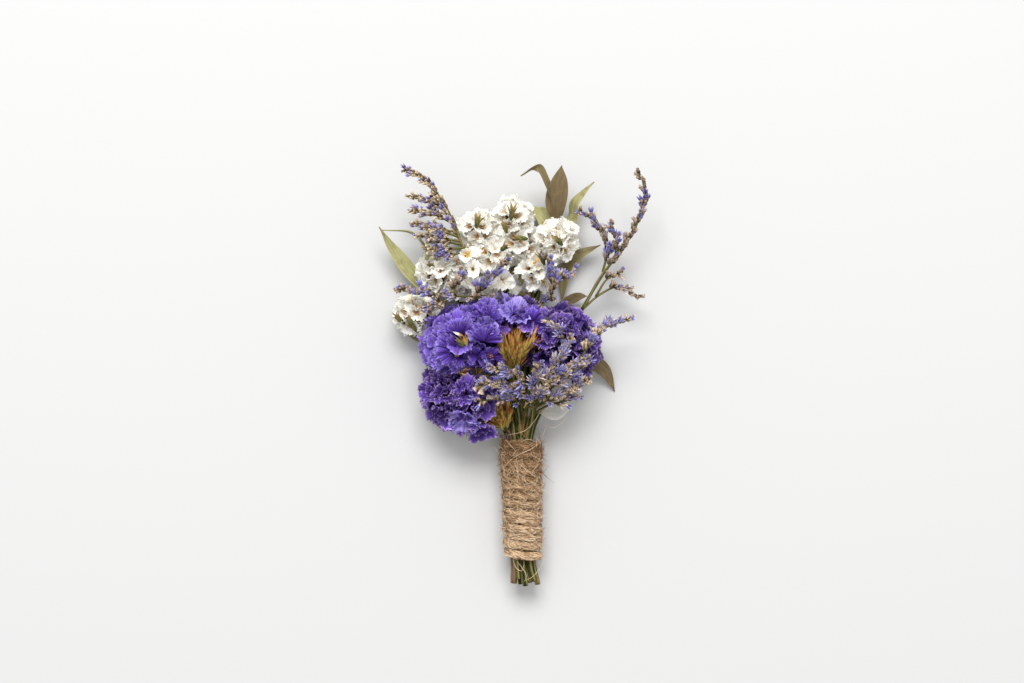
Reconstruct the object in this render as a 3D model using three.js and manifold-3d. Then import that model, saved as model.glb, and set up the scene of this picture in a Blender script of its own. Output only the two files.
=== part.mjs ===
// A dried-flower boutonniere, lying flat on a table: twelve stems bound with jute twine, which carry
// purple and white statice, sprays of sea lavender and two twigs of narrow leaves.
// Millimetres. +X is right, +Y runs from the cut stem ends to the blooms, and +Z is up from the table.
// The origin is on the table, below the middle of the twine.
import * as THREE from "three";
import { mergeVertices } from "three/addons/utils/BufferGeometryUtils.js";
import Module from "manifold-3d";

const wasm = await Module();
wasm.setup();

// Driving dimensions
const GAP = 0.3; // air between two pieces that touch
const STEM_RADIUS = 0.75;
const OUTER_RING = 2.75; // the stems lie in the twine in two rings
const INNER_RING = 1.05;
const CUT_END = -24.4; // where the longest stems end
const CUT_SPLAY = 1.3; // the cut ends spread this many times wider than the binding holds them
const CUT_SHIFT = 0.5;
const BINDING_LEAN = -0.02; // the handle leans this far to the left for each millimetre up
const TWINE_RADIUS = 1.1;
const TWINE_PITCH = 2.35;
const TWINE_TURNS = 14;
const TWINE_SIDES = 6;
const TWINE_STEPS = 9; // per turn
const TWINE_AIR = 0.38; // between the stems and the twine, for its corners lie nearer the stems
const TWINE_COIL_RADIUS = OUTER_RING + STEM_RADIUS + TWINE_AIR + TWINE_RADIUS;
const TWINE_FLARE = 0.45; // the turns grow this much wider towards the blooms
const AXIS_HEIGHT = 5.5; // a little lower than round turns need, so the table flattens their lowest side
const HALF_BINDING = (TWINE_TURNS * TWINE_PITCH) / 2;
const STEM_TOP = HALF_BINDING + 0.4; // stems run straight up to here
const GOLDEN_ANGLE = Math.PI * (3 - Math.sqrt(5));

const MERGE = 0.08; // edges finer than this are merged
const TILTS = [0, 14, 28, 42]; // how far a floret may bend aside to come clear, in degrees
const TILT_WAYS = 6;

// A calyx: its length, the radius of its mouth and throat, where along it the throat ends, how far
// its mouth stands from its clump's base, the radius of the bloom's core, and the least distance
// from one mouth to the next.
const PURPLE = {
  length: 9,
  mouth: 4.3,
  throat: 0.9,
  flare: 0.62,
  sides: 7,
  reach: 10.2,
  core: 2.1,
  spacing: 6.1,
};
const WHITE = {
  length: 5.7,
  mouth: 3.2,
  throat: 0.7,
  flare: 0.6,
  sides: 6,
  reach: 6.5,
  core: 1.5,
  spacing: 4.4,
};
const CALYX_WALL = 0.06; // share of a calyx's length from its throat to the bottom of its funnel
const BRACT = { length: 11, radius: 1, sides: 4 };
const FLORET = { length: 3.8, radius: 0.9, sides: 3, spacing: 2.5, lean: 50 };
const SPIKE = { radius: 0.5, tipRadius: 0.35, sides: 3 };
const LEAF = { halfThickness: 0.32, narrowest: 0.35, fold: 18, widestAt: 0.45 };

// Finishes
const finish = (color, roughness) => new THREE.MeshStandardMaterial({ color, roughness, metalness: 0 });
const FINISH = {
  purple: finish(0x6a4fc0, 0.75),
  white: finish(0xece9df, 0.8),
  stem: finish(0x5c6632, 0.7),
  spray: finish(0x6d6a8c, 0.8),
  leaf: finish(0x7f7f50, 0.65),
  twine: finish(0xb08d62, 0.95),
};

// Small helpers
const point = (x, y, z) => new THREE.Vector3(x, y, z);
const radians = THREE.MathUtils.degToRad;
const curveThrough = (points) =>
  new THREE.CatmullRomCurve3(points.map((p) => point(...p)), false, "catmullrom", 0.5);

// A number from 0 to 1 that is always the same for the same k.
function chance(k) {
  const s = Math.sin(k * 12.9898) * 43758.5453;
  return s - Math.floor(s);
}

// Two directions that are square to d and to each other.
function squareTo(d) {
  const helper = Math.abs(d.z) < 0.9 ? point(0, 0, 1) : point(0, 1, 0);
  const u = new THREE.Vector3().crossVectors(helper, d).normalize();
  return [u, new THREE.Vector3().crossVectors(d, u)];
}

// A closed three.js geometry as a manifold-3d solid.
function solidOf(geometry) {
  const bare = geometry.clone();
  bare.deleteAttribute("normal");
  bare.deleteAttribute("uv");
  const merged = mergeVertices(bare, 1e-4);
  const vertProperties = merged.getAttribute("position").array;
  const triVerts = new Uint32Array(merged.index.array);
  const made = new wasm.Manifold(new wasm.Mesh({ numProp: 3, vertProperties, triVerts }));
  if (made.volume() > 0) return made;
  return new wasm.Manifold(new wasm.Mesh({ numProp: 3, vertProperties, triVerts: triVerts.reverse() }));
}

// A closed body through rings of points. A ring of one point is a tip, and an end ring is capped flat.
// The second half of each ring is split along the other diagonal, so both faces of a thin blade match.
function loft(rings) {
  const positions = rings.flat().flatMap((p) => [p.x, p.y, p.z]);
  const starts = rings.map((_, k) => rings.slice(0, k).reduce((sum, ring) => sum + ring.length, 0));
  const index = [];
  for (let k = 0; k + 1 < rings.length; k++) {
    const [a, b, n] = [starts[k], starts[k + 1], Math.max(rings[k].length, rings[k + 1].length)];
    for (let i = 0; i < n; i++) {
      const j = (i + 1) % n;
      if (rings[k].length === 1) index.push(a, b + j, b + i);
      else if (rings[k + 1].length === 1) index.push(a + i, a + j, b);
      else if (i < n / 2) index.push(a + i, a + j, b + j, a + i, b + j, b + i);
      else index.push(a + i, a + j, b + i, a + j, b + j, b + i);
    }
  }
  const cap = (start, count, flip) => {
    for (let i = 1; i + 1 < count; i++)
      index.push(start, start + (flip ? i : i + 1), start + (flip ? i + 1 : i));
  };
  cap(starts[0], rings[0].length, false);
  cap(starts.at(-1), rings.at(-1).length, true);
  const geometry = new THREE.BufferGeometry();
  geometry.setAttribute("position", new THREE.Float32BufferAttribute(positions, 3));
  geometry.setIndex(index);
  return solidOf(geometry);
}

// A ring of points round a centre, in the plane of u and v.
function ringOf(centre, u, v, radiusAt, count, liftAt = () => point(0, 0, 0)) {
  return Array.from({ length: count }, (_, i) => {
    const angle = (2 * Math.PI * i) / count;
    return centre
      .clone()
      .addScaledVector(u, radiusAt(i) * Math.cos(angle))
      .addScaledVector(v, radiusAt(i) * Math.sin(angle))
      .add(liftAt(i));
  });
}

// A round stem along points, which tapers from one radius to the other.
function tube(points, startRadius, endRadius = startRadius, sides = 5, stepsPerPoint = 2) {
  const curve = curveThrough(points);
  const steps = Math.round((points.length - 1) * stepsPerPoint);
  const frames = curve.computeFrenetFrames(steps);
  const rings = [];
  for (let k = 0; k <= steps; k++) {
    const radius = THREE.MathUtils.lerp(startRadius, endRadius, k / steps);
    const [u, v] = [frames.normals[k], frames.binormals[k]];
    rings.push(ringOf(curve.getPoint(k / steps), u, v, () => radius, sides));
  }
  return loft(rings);
}

// A slender bud, pointed at both ends.
function spindle(root, direction, length, radius, sides) {
  const [u, v] = squareTo(direction);
  const middle = root.clone().addScaledVector(direction, length * 0.6);
  return loft([
    [root],
    ringOf(middle, u, v, () => radius, sides),
    [root.clone().addScaledVector(direction, length)],
  ]);
}

// One papery statice calyx: a narrow tube that flares into a waved funnel.
function calyx(root, direction, kind, spin) {
  const [u, v] = squareTo(direction);
  const at = (share) => root.clone().addScaledVector(direction, kind.length * share);
  const wave = (i) => Math.sin((6 * Math.PI * i) / kind.sides + spin); // three waves round the rim
  const rim = ringOf(
    at(1),
    u,
    v,
    (i) => kind.mouth * (1 + 0.1 * wave(i)),
    kind.sides,
    (i) => direction.clone().multiplyScalar(kind.length * 0.06 * wave(i)),
  );
  const throat = ringOf(at(kind.flare), u, v, () => kind.throat, kind.sides);
  return loft([[root], throat, rim, [at(kind.flare + CALYX_WALL)]]);
}

// The directions of count florets over a cap of the given spread, in degrees, about an axis.
function capDirections(axis, spread, count, seed) {
  const [u, v] = squareTo(axis);
  const depth = 1 - Math.cos(radians(spread));
  return Array.from({ length: count }, (_, i) => {
    const along = 1 - (depth * (i + 0.5)) / count;
    const across = Math.sqrt(1 - along * along);
    const turn = i * GOLDEN_ANGLE + seed;
    return axis
      .clone()
      .multiplyScalar(along)
      .addScaledVector(u, across * Math.cos(turn))
      .addScaledVector(v, across * Math.sin(turn))
      .normalize();
  });
}

// The finished model
const model = new THREE.Group();
const finished = [];

const isClear = (solid, others) => others.every((other) => solid.minGap(other, GAP) >= GAP * 0.98);

// Fuses solids into one node and adds it to the model. What lies below the table is cut flat, and
// a scrap or a sealed hollow is dropped.
function addNode(name, solids, material) {
  const bodies = wasm.Manifold.union(solids).trimByPlane([0, 0, 1], 0).simplify(MERGE).decompose();
  const body = bodies.reduce((a, b) => (b.volume() > a.volume() ? b : a));
  const { vertProperties, triVerts } = body.getMesh();
  const geometry = new THREE.BufferGeometry();
  geometry.setAttribute("position", new THREE.BufferAttribute(vertProperties, 3));
  geometry.setIndex(new THREE.BufferAttribute(triVerts, 1));
  const mesh = new THREE.Mesh(geometry, material);
  mesh.name = name;
  model.add(mesh);
  finished.push(body);
  return body;
}

// Tries a small piece upright, then bent this way and that, and leaves it out if nothing is clear.
function bentClear(make, direction, others, isFree) {
  const [u, v] = squareTo(direction);
  for (const tilt of TILTS) {
    const ways = tilt ? TILT_WAYS : 1;
    for (let i = 0; i < ways; i++) {
      const turn = (2 * Math.PI * i) / ways;
      const bent = direction
        .clone()
        .addScaledVector(u, Math.tan(radians(tilt)) * Math.cos(turn))
        .addScaledVector(v, Math.tan(radians(tilt)) * Math.sin(turn))
        .normalize();
      if (!isFree(bent)) continue;
      const solid = make(bent);
      if (isClear(solid, others)) return [{ solid, direction: bent }];
    }
  }
  return [];
}

// Stems: each has a place in the binding, as a ring radius and an angle in degrees from +X towards +Z.
const STEMS = {
  purple_main: { ring: OUTER_RING, angle: 90, cut: 0 },
  front_spray: { ring: OUTER_RING, angle: 50, cut: 1.2 },
  purple_right: { ring: OUTER_RING, angle: 10, cut: 0.2 },
  right_spray: { ring: OUTER_RING, angle: -30, cut: 0.9 },
  right_twig: { ring: OUTER_RING, angle: -70, cut: 0.4 },
  left_twig: { ring: OUTER_RING, angle: -110, cut: 1.5 },
  white_left: { ring: OUTER_RING, angle: -150, cut: 0.3 },
  purple_left: { ring: OUTER_RING, angle: 170, cut: 0.6 },
  left_spray: { ring: OUTER_RING, angle: 130, cut: 1.9 },
  middle_spray: { ring: INNER_RING, angle: 70, cut: 1.1 },
  white_middle: { ring: INNER_RING, angle: 190, cut: 0.2 },
  white_right: { ring: INNER_RING, angle: 310, cut: 0.8 },
};

// A point of a stem inside the binding.
function boundPoint({ ring, angle }, y) {
  const swing = radians(angle);
  return [BINDING_LEAN * y + ring * Math.cos(swing), y, AXIS_HEIGHT + ring * Math.sin(swing)];
}

// A whole stem: cut end, binding, then the points that it follows to its blooms.
function stem(name, points, endRadius = STEM_RADIUS) {
  const place = STEMS[name];
  const [x, y, z] = boundPoint(place, CUT_END + place.cut);
  const bound = [-HALF_BINDING, 0, STEM_TOP].map((along) => boundPoint(place, along));
  return tube([[x * CUT_SPLAY + CUT_SHIFT, y, z], ...bound, ...points], STEM_RADIUS, endRadius);
}

// Twine: one cord wound round the stems. Its turns have a corner towards each neighbour.
function twine() {
  const steps = TWINE_TURNS * TWINE_STEPS;
  const along = point(0, 1, 0);
  const halfSide = Math.PI / TWINE_SIDES;
  const rings = Array.from({ length: steps + 1 }, (_, k) => {
    const turns = k / TWINE_STEPS - TWINE_TURNS / 2;
    const angle = 2 * Math.PI * turns - Math.PI / 2;
    const y = turns * TWINE_PITCH;
    const outward = point(Math.cos(angle), 0, Math.sin(angle));
    const coilRadius = TWINE_COIL_RADIUS + TWINE_FLARE * THREE.MathUtils.smoothstep(y, 0, HALF_BINDING);
    const centre = point(BINDING_LEAN * y, y, AXIS_HEIGHT).addScaledVector(outward, coilRadius);
    const u = outward.clone().multiplyScalar(Math.cos(halfSide)).addScaledVector(along, Math.sin(halfSide));
    const v = along.clone().multiplyScalar(Math.cos(halfSide)).addScaledVector(outward, -Math.sin(halfSide));
    return ringOf(centre, u, v, () => TWINE_RADIUS, TWINE_SIDES);
  });
  return loft(rings);
}

addNode("jute_twine", [twine()], FINISH.twine);

// Blooms: each clump is a base, an axis, a spread in degrees and the most florets it may carry. The
// bases lie on one short branch, the bloom's core.
const BLOOMS = {
  purple_right: {
    kind: PURPLE,
    core: [[11.4, 41, 8.5], [10.5, 45.2, 8.8]],
    clumps: [
      { base: [11.2, 42.2, 8.6], axis: [0.9, 0.05, 0.4], spread: 52, count: 9 },
      { base: [10.6, 44.8, 8.8], axis: [0.4, 0.75, 0.5], spread: 42, count: 6 },
    ],
  },
  purple_main: {
    kind: PURPLE,
    core: [
      [-19, 44, 10.5],
      [-14, 46.5, 10.5],
      [-8, 48, 10],
      [-2, 48.5, 9.5],
      [3, 46.5, 9.5],
      [7, 44.5, 9.5],
    ],
    clumps: [
      { base: [-18, 44.5, 10.5], axis: [-0.85, -0.05, 0.45], spread: 50, count: 9 },
      { base: [-11, 47.3, 10.3], axis: [-0.1, -0.05, 1], spread: 42, count: 7 },
      { base: [-16, 45.5, 10.5], axis: [-0.25, -0.55, 0.8], spread: 44, count: 8 },
      { base: [-14, 46.5, 10.5], axis: [-0.45, 0.65, 0.6], spread: 48, count: 8 },
      { base: [-8, 48, 10], axis: [-0.1, 0.8, 0.6], spread: 48, count: 8 },
      { base: [-2, 48.5, 9.5], axis: [0.05, 0.7, 0.7], spread: 48, count: 8 },
      { base: [4, 46, 9.5], axis: [0.3, 0.5, 0.8], spread: 48, count: 8 },
      { base: [7, 44.5, 9.5], axis: [0.5, -0.1, 0.85], spread: 42, count: 6 },
    ],
  },
  purple_left: {
    kind: PURPLE,
    core: [[-12, 27, 7.5], [-15.5, 28.5, 8], [-18.5, 30.5, 8.3]],
    clumps: [
      { base: [-18, 30.5, 8.3], axis: [-0.75, 0.45, 0.45], spread: 48, count: 8 },
      { base: [-15.5, 29, 8.2], axis: [-0.15, 0, 1], spread: 52, count: 9 },
      { base: [-18, 29.7, 8.2], axis: [-0.93, -0.2, 0], spread: 50, count: 8 },
      { base: [-14.5, 28, 7.8], axis: [-0.4, -0.5, 0.65], spread: 46, count: 8 },
      { base: [-12, 27, 7.5], axis: [0.2, -0.45, 0.85], spread: 34, count: 4 },
    ],
  },
  white_low_left: {
    kind: WHITE,
    core: [[-29, 52.2, 4.2], [-30.5, 52.6, 5.2]],
    clumps: [{ base: [-30.2, 52.6, 5], axis: [-0.2, 0.1, 1], spread: 80, count: 13 }],
  },
  white_left: {
    kind: WHITE,
    core: [[-23.4, 64, 4.2], [-23.8, 65, 5]],
    clumps: [
      { base: [-23.8, 65, 4.8], axis: [-0.1, 0.1, 1], spread: 82, count: 14 },
      { base: [-23.6, 64.6, 4.6], axis: [-0.55, 0.1, -0.7], spread: 25, count: 3 },
    ],
  },
  white_mid_left: {
    kind: WHITE,
    core: [[-16, 62.5, 4.4], [-15.8, 63.6, 5.6]],
    clumps: [{ base: [-15.8, 63.4, 5.4], axis: [0, 0.1, 1], spread: 72, count: 11 }],
  },
  white_centre: {
    kind: WHITE,
    core: [[-6.9, 61.8, 4.6], [-7.8, 66, 4.8], [-8.3, 70, 5]],
    clumps: [
      { base: [-8.3, 69.6, 5], axis: [0, 0.1, 1], spread: 76, count: 13 },
      { base: [-7, 62.6, 4.7], axis: [0, -0.1, 1], spread: 40, count: 4 },
    ],
  },
  white_top_left: {
    kind: WHITE,
    core: [[-11.6, 74.8, 4.2], [-11.8, 76.2, 4.8]],
    clumps: [{ base: [-11.8, 76, 4.7], axis: [-0.2, 0.3, 0.95], spread: 72, count: 11 }],
  },
  white_top: {
    kind: WHITE,
    core: [[-0.8, 72.4, 4.6], [-1.6, 76, 4.8], [-2.7, 80, 5]],
    clumps: [
      { base: [-2.7, 79.6, 5], axis: [-0.05, 0.2, 1], spread: 74, count: 10 },
      { base: [-1, 73.2, 4.7], axis: [0.1, -0.05, 1], spread: 60, count: 8 },
    ],
  },
  white_right: {
    kind: WHITE,
    core: [[9.2, 72.4, 4.8], [9.4, 74, 5.2]],
    clumps: [
      { base: [9.4, 73.8, 5], axis: [0.1, 0.1, 1], spread: 82, count: 14 },
      { base: [9.4, 73.6, 4.9], axis: [0.75, 0.1, -0.65], spread: 25, count: 3 },
    ],
  },
  white_front: {
    kind: WHITE,
    core: [[3.4, 64, 4.6], [3.4, 65.4, 5.4]],
    clumps: [{ base: [3.4, 65.2, 5.2], axis: [0.05, 0, 1], spread: 80, count: 13 }],
  },
};

const clumpDirection = (clump) => point(...clump.axis).normalize();

// The room round a bloom's core, which its stem is cut back from.
function coreRoom({ kind, core }) {
  const ends = [core[0], core[1], core.at(-1), core.at(-2)].map((p) => point(...p));
  const beyond = (end, next) => end.addScaledVector(end.clone().sub(next).normalize(), 2 * GAP).toArray();
  const points = [beyond(ends[0], ends[1]), ...core, beyond(ends[2], ends[3])];
  return tube(points, kind.core + 1.5 * GAP, kind.core + 1.5 * GAP, 8);
}

const coreOf = ({ kind, core }) => tube(core, kind.core, kind.core, 6);

function bloomSolids(bloom, others) {
  const { kind, clumps } = bloom;
  const mouths = [];
  const florets = clumps.flatMap((clump, k) =>
    capDirections(clumpDirection(clump), clump.spread, clump.count, k).flatMap((direction, i) => {
      const base = point(...clump.base);
      const mouthAt = (d) => base.clone().addScaledVector(d, kind.reach);
      const make = (d) => {
        const root = base.clone().addScaledVector(d, kind.reach - kind.length);
        return calyx(root, d, kind, chance(10 * k + i) * Math.PI);
      };
      const isFree = (d) => mouths.every((mouth) => mouth.distanceTo(mouthAt(d)) > kind.spacing);
      const [found] = bentClear(make, direction, others, isFree);
      if (!found) return [];
      mouths.push(mouthAt(found.direction));
      return [found.solid];
    }),
  );
  return [coreOf(bloom), ...florets];
}

// A cluster of bracts: the olive calyx tubes at the foot of a bloom.
function bracts(base, axis, spread, count) {
  return capDirections(point(...axis).normalize(), spread, count, 0.5).map((direction, i) => {
    const length = BRACT.length * (0.8 + 0.3 * chance(i + 40));
    return spindle(point(...base), direction, length, BRACT.radius, BRACT.sides);
  });
}

// Cuts a stem back from the blooms that stand on it.
const cutBack = (solid, names) => names.reduce((s, name) => s.subtract(coreRoom(BLOOMS[name])), solid);

function stemNode(name, solids, blooms) {
  const joined = wasm.Manifold.union(solids);
  return addNode(name, [cutBack(joined, blooms)], FINISH.stem);
}

stemNode(
  "purple_statice_stem_main",
  [
    stem("purple_main", [[-0.8, 25, 10.4], [-1.6, 31, 12.6], [-2, 36, 14.6]]),
    ...bracts([-1.9, 35, 14], [0.02, 0.9, 0.36], 42, 13),
    tube([[-1.6, 31, 12.6], [-2, 37, 11], [-2, 43, 9.4], [-2, 48, 9.4]], STEM_RADIUS),
  ],
  ["purple_main"],
);
stemNode(
  "purple_statice_stem_left",
  [
    stem("purple_left", [[-5, 20.5, 6.6], [-8.5, 24, 7], [-12, 27, 7.5]]),
    ...bracts([-5, 20.4, 6.6], [-0.7, 0.62, 0.5], 34, 7),
  ],
  ["purple_left"],
);
stemNode(
  "purple_statice_stem_right",
  [
    stem("purple_right", [[5.4, 26, 6.8], [9, 35, 8], [11.4, 41, 8.5]]),
    ...bracts([8.6, 34, 8], [0.5, 0.75, 0.5], 20, 3),
  ],
  ["purple_right"],
);
stemNode(
  "white_statice_stem_left",
  [
    stem("white_left", [
      [-3.8, 30, 4.2],
      [-6.4, 42, 4.4],
      [-14, 51, 4.4],
      [-19, 57.5, 4.2],
      [-23.4, 64, 4.2],
    ]),
    tube([[-14, 51, 4.4], [-21, 52.4, 4], [-29, 52.2, 4.2]], 0.6),
    tube([[-17.4, 55.4, 4.1], [-16.6, 59, 4.2], [-16, 62.5, 4.4]], 0.6),
  ],
  ["white_left", "white_low_left", "white_mid_left"],
);
stemNode(
  "white_statice_stem_middle",
  [
    stem("white_middle", [[-1.8, 30, 5.3], [-2.8, 45, 5.2], [-4.8, 56, 4.8], [-6.9, 61.8, 4.6]]),
    tube([[-5.6, 58.4, 4.7], [-10.6, 64, 3.2], [-12.2, 69, 3.2], [-11.6, 74.8, 4.2]], 0.6),
    tube([[-4.8, 56, 4.8], [-3, 64, 4], [-0.8, 72.4, 4.6]], 0.6),
  ],
  ["white_centre", "white_top_left", "white_top"],
);
stemNode(
  "white_statice_stem_right",
  [
    stem("white_right", [[1.2, 30, 4.8], [2.4, 46, 4.8], [3.2, 56, 4.8], [3.4, 64, 4.6]]),
    tube([[3.2, 56, 4.8], [7, 64, 4.6], [9.2, 72.4, 4.8]], 0.6),
  ],
  ["white_right", "white_front"],
);

// Leaves: each is a midrib, a width, and the direction that its face looks in.
function leaf({ midrib, width, face }) {
  const steps = midrib.length;
  const { halfThickness } = LEAF;
  const curve = curveThrough(midrib);
  const rings = [];
  for (let k = 0; k <= steps; k++) {
    const t = k / steps;
    const tangent = curve.getTangent(t);
    const side = new THREE.Vector3().crossVectors(tangent, point(...face)).normalize();
    const up = new THREE.Vector3().crossVectors(side, tangent).normalize();
    const swell = Math.sin(Math.PI * Math.pow(t, Math.log(0.5) / Math.log(LEAF.widestAt)));
    const half = Math.max((width / 2) * swell, LEAF.narrowest);
    const lift = half * Math.tan(radians(LEAF.fold));
    const at = (across, height) =>
      curve.getPoint(t).addScaledVector(side, across).addScaledVector(up, height);
    rings.push([
      at(-half, lift + halfThickness),
      at(0, halfThickness),
      at(half, lift + halfThickness),
      at(half, lift - halfThickness),
      at(0, -halfThickness),
      at(-half, lift - halfThickness),
    ]);
  }
  return loft(rings);
}

// Sprays: branches, and florets that stand along the upper side of each spike, as on sea lavender.
function spikeFlorets({ points, side, from = 0.15 }) {
  const curve = curveThrough(points);
  const length = curve.getLength();
  const count = Math.max(2, Math.floor((length * (1 - from)) / FLORET.spacing));
  return Array.from({ length: count }, (_, i) => {
    const t = from + ((1 - from) * (i + 0.5)) / count;
    const tangent = curve.getTangent(t);
    const across = new THREE.Vector3().crossVectors(tangent, point(...side)).normalize();
    const up = new THREE.Vector3().crossVectors(across, tangent);
    const roll = radians((i % 2 ? 1 : -1) * (20 + 40 * chance(i + length)));
    const outward = up.multiplyScalar(Math.cos(roll)).addScaledVector(across, Math.sin(roll));
    const direction = tangent
      .multiplyScalar(Math.cos(radians(FLORET.lean)))
      .addScaledVector(outward, Math.sin(radians(FLORET.lean)));
    const size = FLORET.length * (1.1 - 0.35 * t);
    return spindle(curve.getPoint(t), direction, size, FLORET.radius, FLORET.sides);
  });
}

function sprayBranches({ stalk, spikes }) {
  const made = spikes.map(({ points, thick = SPIKE.radius }) =>
    tube(points, thick, SPIKE.tipRadius, SPIKE.sides, 1.4),
  );
  return wasm.Manifold.union([...stalk(), ...made]);
}

const UP = [0, 0, 1];

const SPRAYS = {
  sea_lavender_front: {
    stalk: () => [stem("front_spray", [[2.7, 22, 10.4], [3.2, 26, 13.6], [3.6, 30, 16.5]])],
    spikes: [
      { points: [[3.2, 26, 13.6], [9, 29, 16], [14, 31.5, 15.5], [18.5, 34, 14.5]], side: [0, 0.2, 1] },
      {
        points: [[3.4, 28, 15], [9, 32.6, 17.5], [14, 36, 17.5], [18.5, 39.6, 16]],
        side: [-0.2, 0.3, 1],
      },
      {
        points: [[3.6, 30, 16.5], [7, 35.5, 19], [11, 41, 19.5], [13.4, 45.6, 18.6]],
        side: [-0.2, 0.2, 1],
      },
      { points: [[3.6, 30, 16.5], [3.4, 34, 19], [4.6, 38.6, 20.6]], side: UP },
      { points: [[3.2, 26, 13.6], [-2, 28.4, 16.5], [-7, 28.8, 17.5], [-12.5, 28.2, 17.8]], side: UP },
      { points: [[3.4, 28, 15], [-0.5, 31.4, 18.4], [-6, 33, 19.6], [-11.5, 33.6, 19.8]], side: UP },
      { points: [[3.6, 30, 16.5], [0, 34.5, 20], [-4.5, 36.6, 21], [-9, 38, 21]], side: UP },
      {
        points: [[2.9, 24, 12], [7, 26.8, 14], [11, 28, 14.2], [15, 29.4, 13]],
        side: [0, -0.2, 1],
        from: 0.3,
      },
      { points: [[3.5, 29, 16], [7.6, 33.6, 19], [12, 37, 19.8], [16.6, 39.4, 19]], side: UP },
      {
        points: [[14, 36, 17.5], [18.5, 43.6, 17], [23, 48.6, 15], [30, 51, 13]],
        side: [-0.3, 0.9, 0.4],
        from: 0.2,
      },
    ],
  },
  sea_lavender_left: {
    stalk: () => [
      stem(
        "left_spray",
        [
          [-3.6, 30, 7],
          [-5.8, 44, 6.4],
          [-8.4, 51, 6.4],
          [-12.4, 60, 10],
          [-15, 66, 11.8],
          [-16.2, 70, 12.4],
        ],
        0.6,
      ),
    ],
    spikes: [
      {
        points: [[-16.2, 70, 12], [-19.2, 78, 13], [-23.5, 86, 14], [-28, 91, 14], [-32.4, 93.2, 13]],
        side: [-0.8, 0.1, 0.6],
        from: 0.1,
        thick: 0.6,
      },
      { points: [[-20.4, 80.5, 13.2], [-25, 84, 12.6], [-31.4, 85.8, 11]], side: [-0.2, 0.4, 0.9] },
      { points: [[-19.2, 78, 13], [-24.5, 80.6, 13.6], [-30.8, 81.8, 11.4]], side: [-0.2, 0.3, 0.9] },
      { points: [[-18.2, 75.4, 12.7], [-24, 77, 12.6], [-30.2, 78.2, 11.6]], side: [-0.3, 0.2, 0.9] },
      { points: [[-17.4, 73.2, 12.4], [-22.6, 74, 13.2], [-29, 74.8, 12.6]], side: [-0.3, -0.2, 0.9] },
      { points: [[-16.6, 71.2, 12.4], [-21.5, 71.2, 13.6], [-27, 71.2, 13]], side: [-0.3, -0.4, 0.85] },
    ],
  },
  sea_lavender_right: {
    stalk: () => [stem("right_spray", [[4.2, 28, 3.9], [8.2, 42, 3.6], [14, 49.5, 4.4], [17.2, 54, 5.6]])],
    spikes: [
      {
        points: [
          [17.2, 54, 5.6],
          [22.4, 63.4, 8],
          [27.3, 69.6, 9.5],
          [31.6, 76.6, 11],
          [35, 85.6, 13],
          [33, 92.4, 14],
        ],
        side: [-0.6, 0.2, 0.7],
        from: 0.26,
        thick: 0.7,
      },
      {
        points: [[23, 64.6, 8.2], [24, 71, 9.5], [21.4, 77.6, 11], [16.6, 81.6, 12]],
        side: [0.2, 0.3, 0.9],
        from: 0.1,
      },
      { points: [[26.4, 68.6, 9.3], [26.6, 73, 12], [25, 78, 13]], side: [-0.2, 0.2, 0.95] },
      {
        points: [[17.2, 54, 5.6], [22.3, 58.4, 7], [27.4, 60.4, 8], [33.2, 57.6, 8]],
        side: [0.1, 0.3, 0.9],
        from: 0.45,
      },
      { points: [[21, 57.6, 6.8], [24, 62.5, 8], [27.8, 64.2, 8]], side: [0.2, 0.2, 0.9], from: 0.35 },
    ],
  },
  sea_lavender_middle: {
    stalk: () => [
      stem("middle_spray", [[0.1, 30, 7.3], [0.4, 42, 6.4], [-0.6, 50, 6.2], [-1.6, 55.4, 9]]),
      tube([[-1.4, 53.6, 8.2], [-7, 56.6, 12.4], [-14, 57.4, 13.4]], 0.6),
      tube([[-14, 57.4, 13.4], [-19, 57.8, 13.6], [-23, 57.8, 13.6]], 0.5),
      tube([[-1.4, 53.6, 8.2], [3, 55.4, 11], [8.2, 57, 12.8]], 0.6),
    ],
    spikes: [
      {
        points: [[-13, 57.4, 13.4], [-9.5, 62, 14.6], [-4.8, 67, 15]],
        side: [-0.3, 0.25, 0.9],
        from: 0,
      },
      {
        points: [[-19, 57.8, 13.6], [-18.6, 60.8, 14.4], [-17, 64.6, 14.6]],
        side: [-0.3, 0.1, 0.9],
        from: 0.1,
      },
      {
        points: [[-23, 57.8, 13.6], [-28.5, 58.8, 13.6], [-34.6, 59.6, 12.6]],
        side: [-0.2, 0.4, 0.85],
        from: 0,
      },
      {
        points: [[-19, 57.8, 13.6], [-24, 55.4, 14], [-27.6, 54.4, 13.6]],
        side: [-0.2, -0.2, 0.9],
        from: 0.1,
      },
      { points: [[8.2, 57, 12.8], [8.4, 62, 14], [6.8, 68.4, 14.4]], side: [0.3, 0.1, 0.9], from: 0 },
      {
        points: [[8.4, 60, 13.6], [11, 62.8, 14], [14.2, 64.4, 13.6]],
        side: [0.1, 0.4, 0.9],
        from: 0.1,
      },
    ],
  },
};

// Twigs of narrow leaves, which lie lowest.
function twigNode(name, twigs, leaves) {
  return addNode(name, [...twigs, ...leaves.map(leaf)], FINISH.leaf);
}

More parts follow.
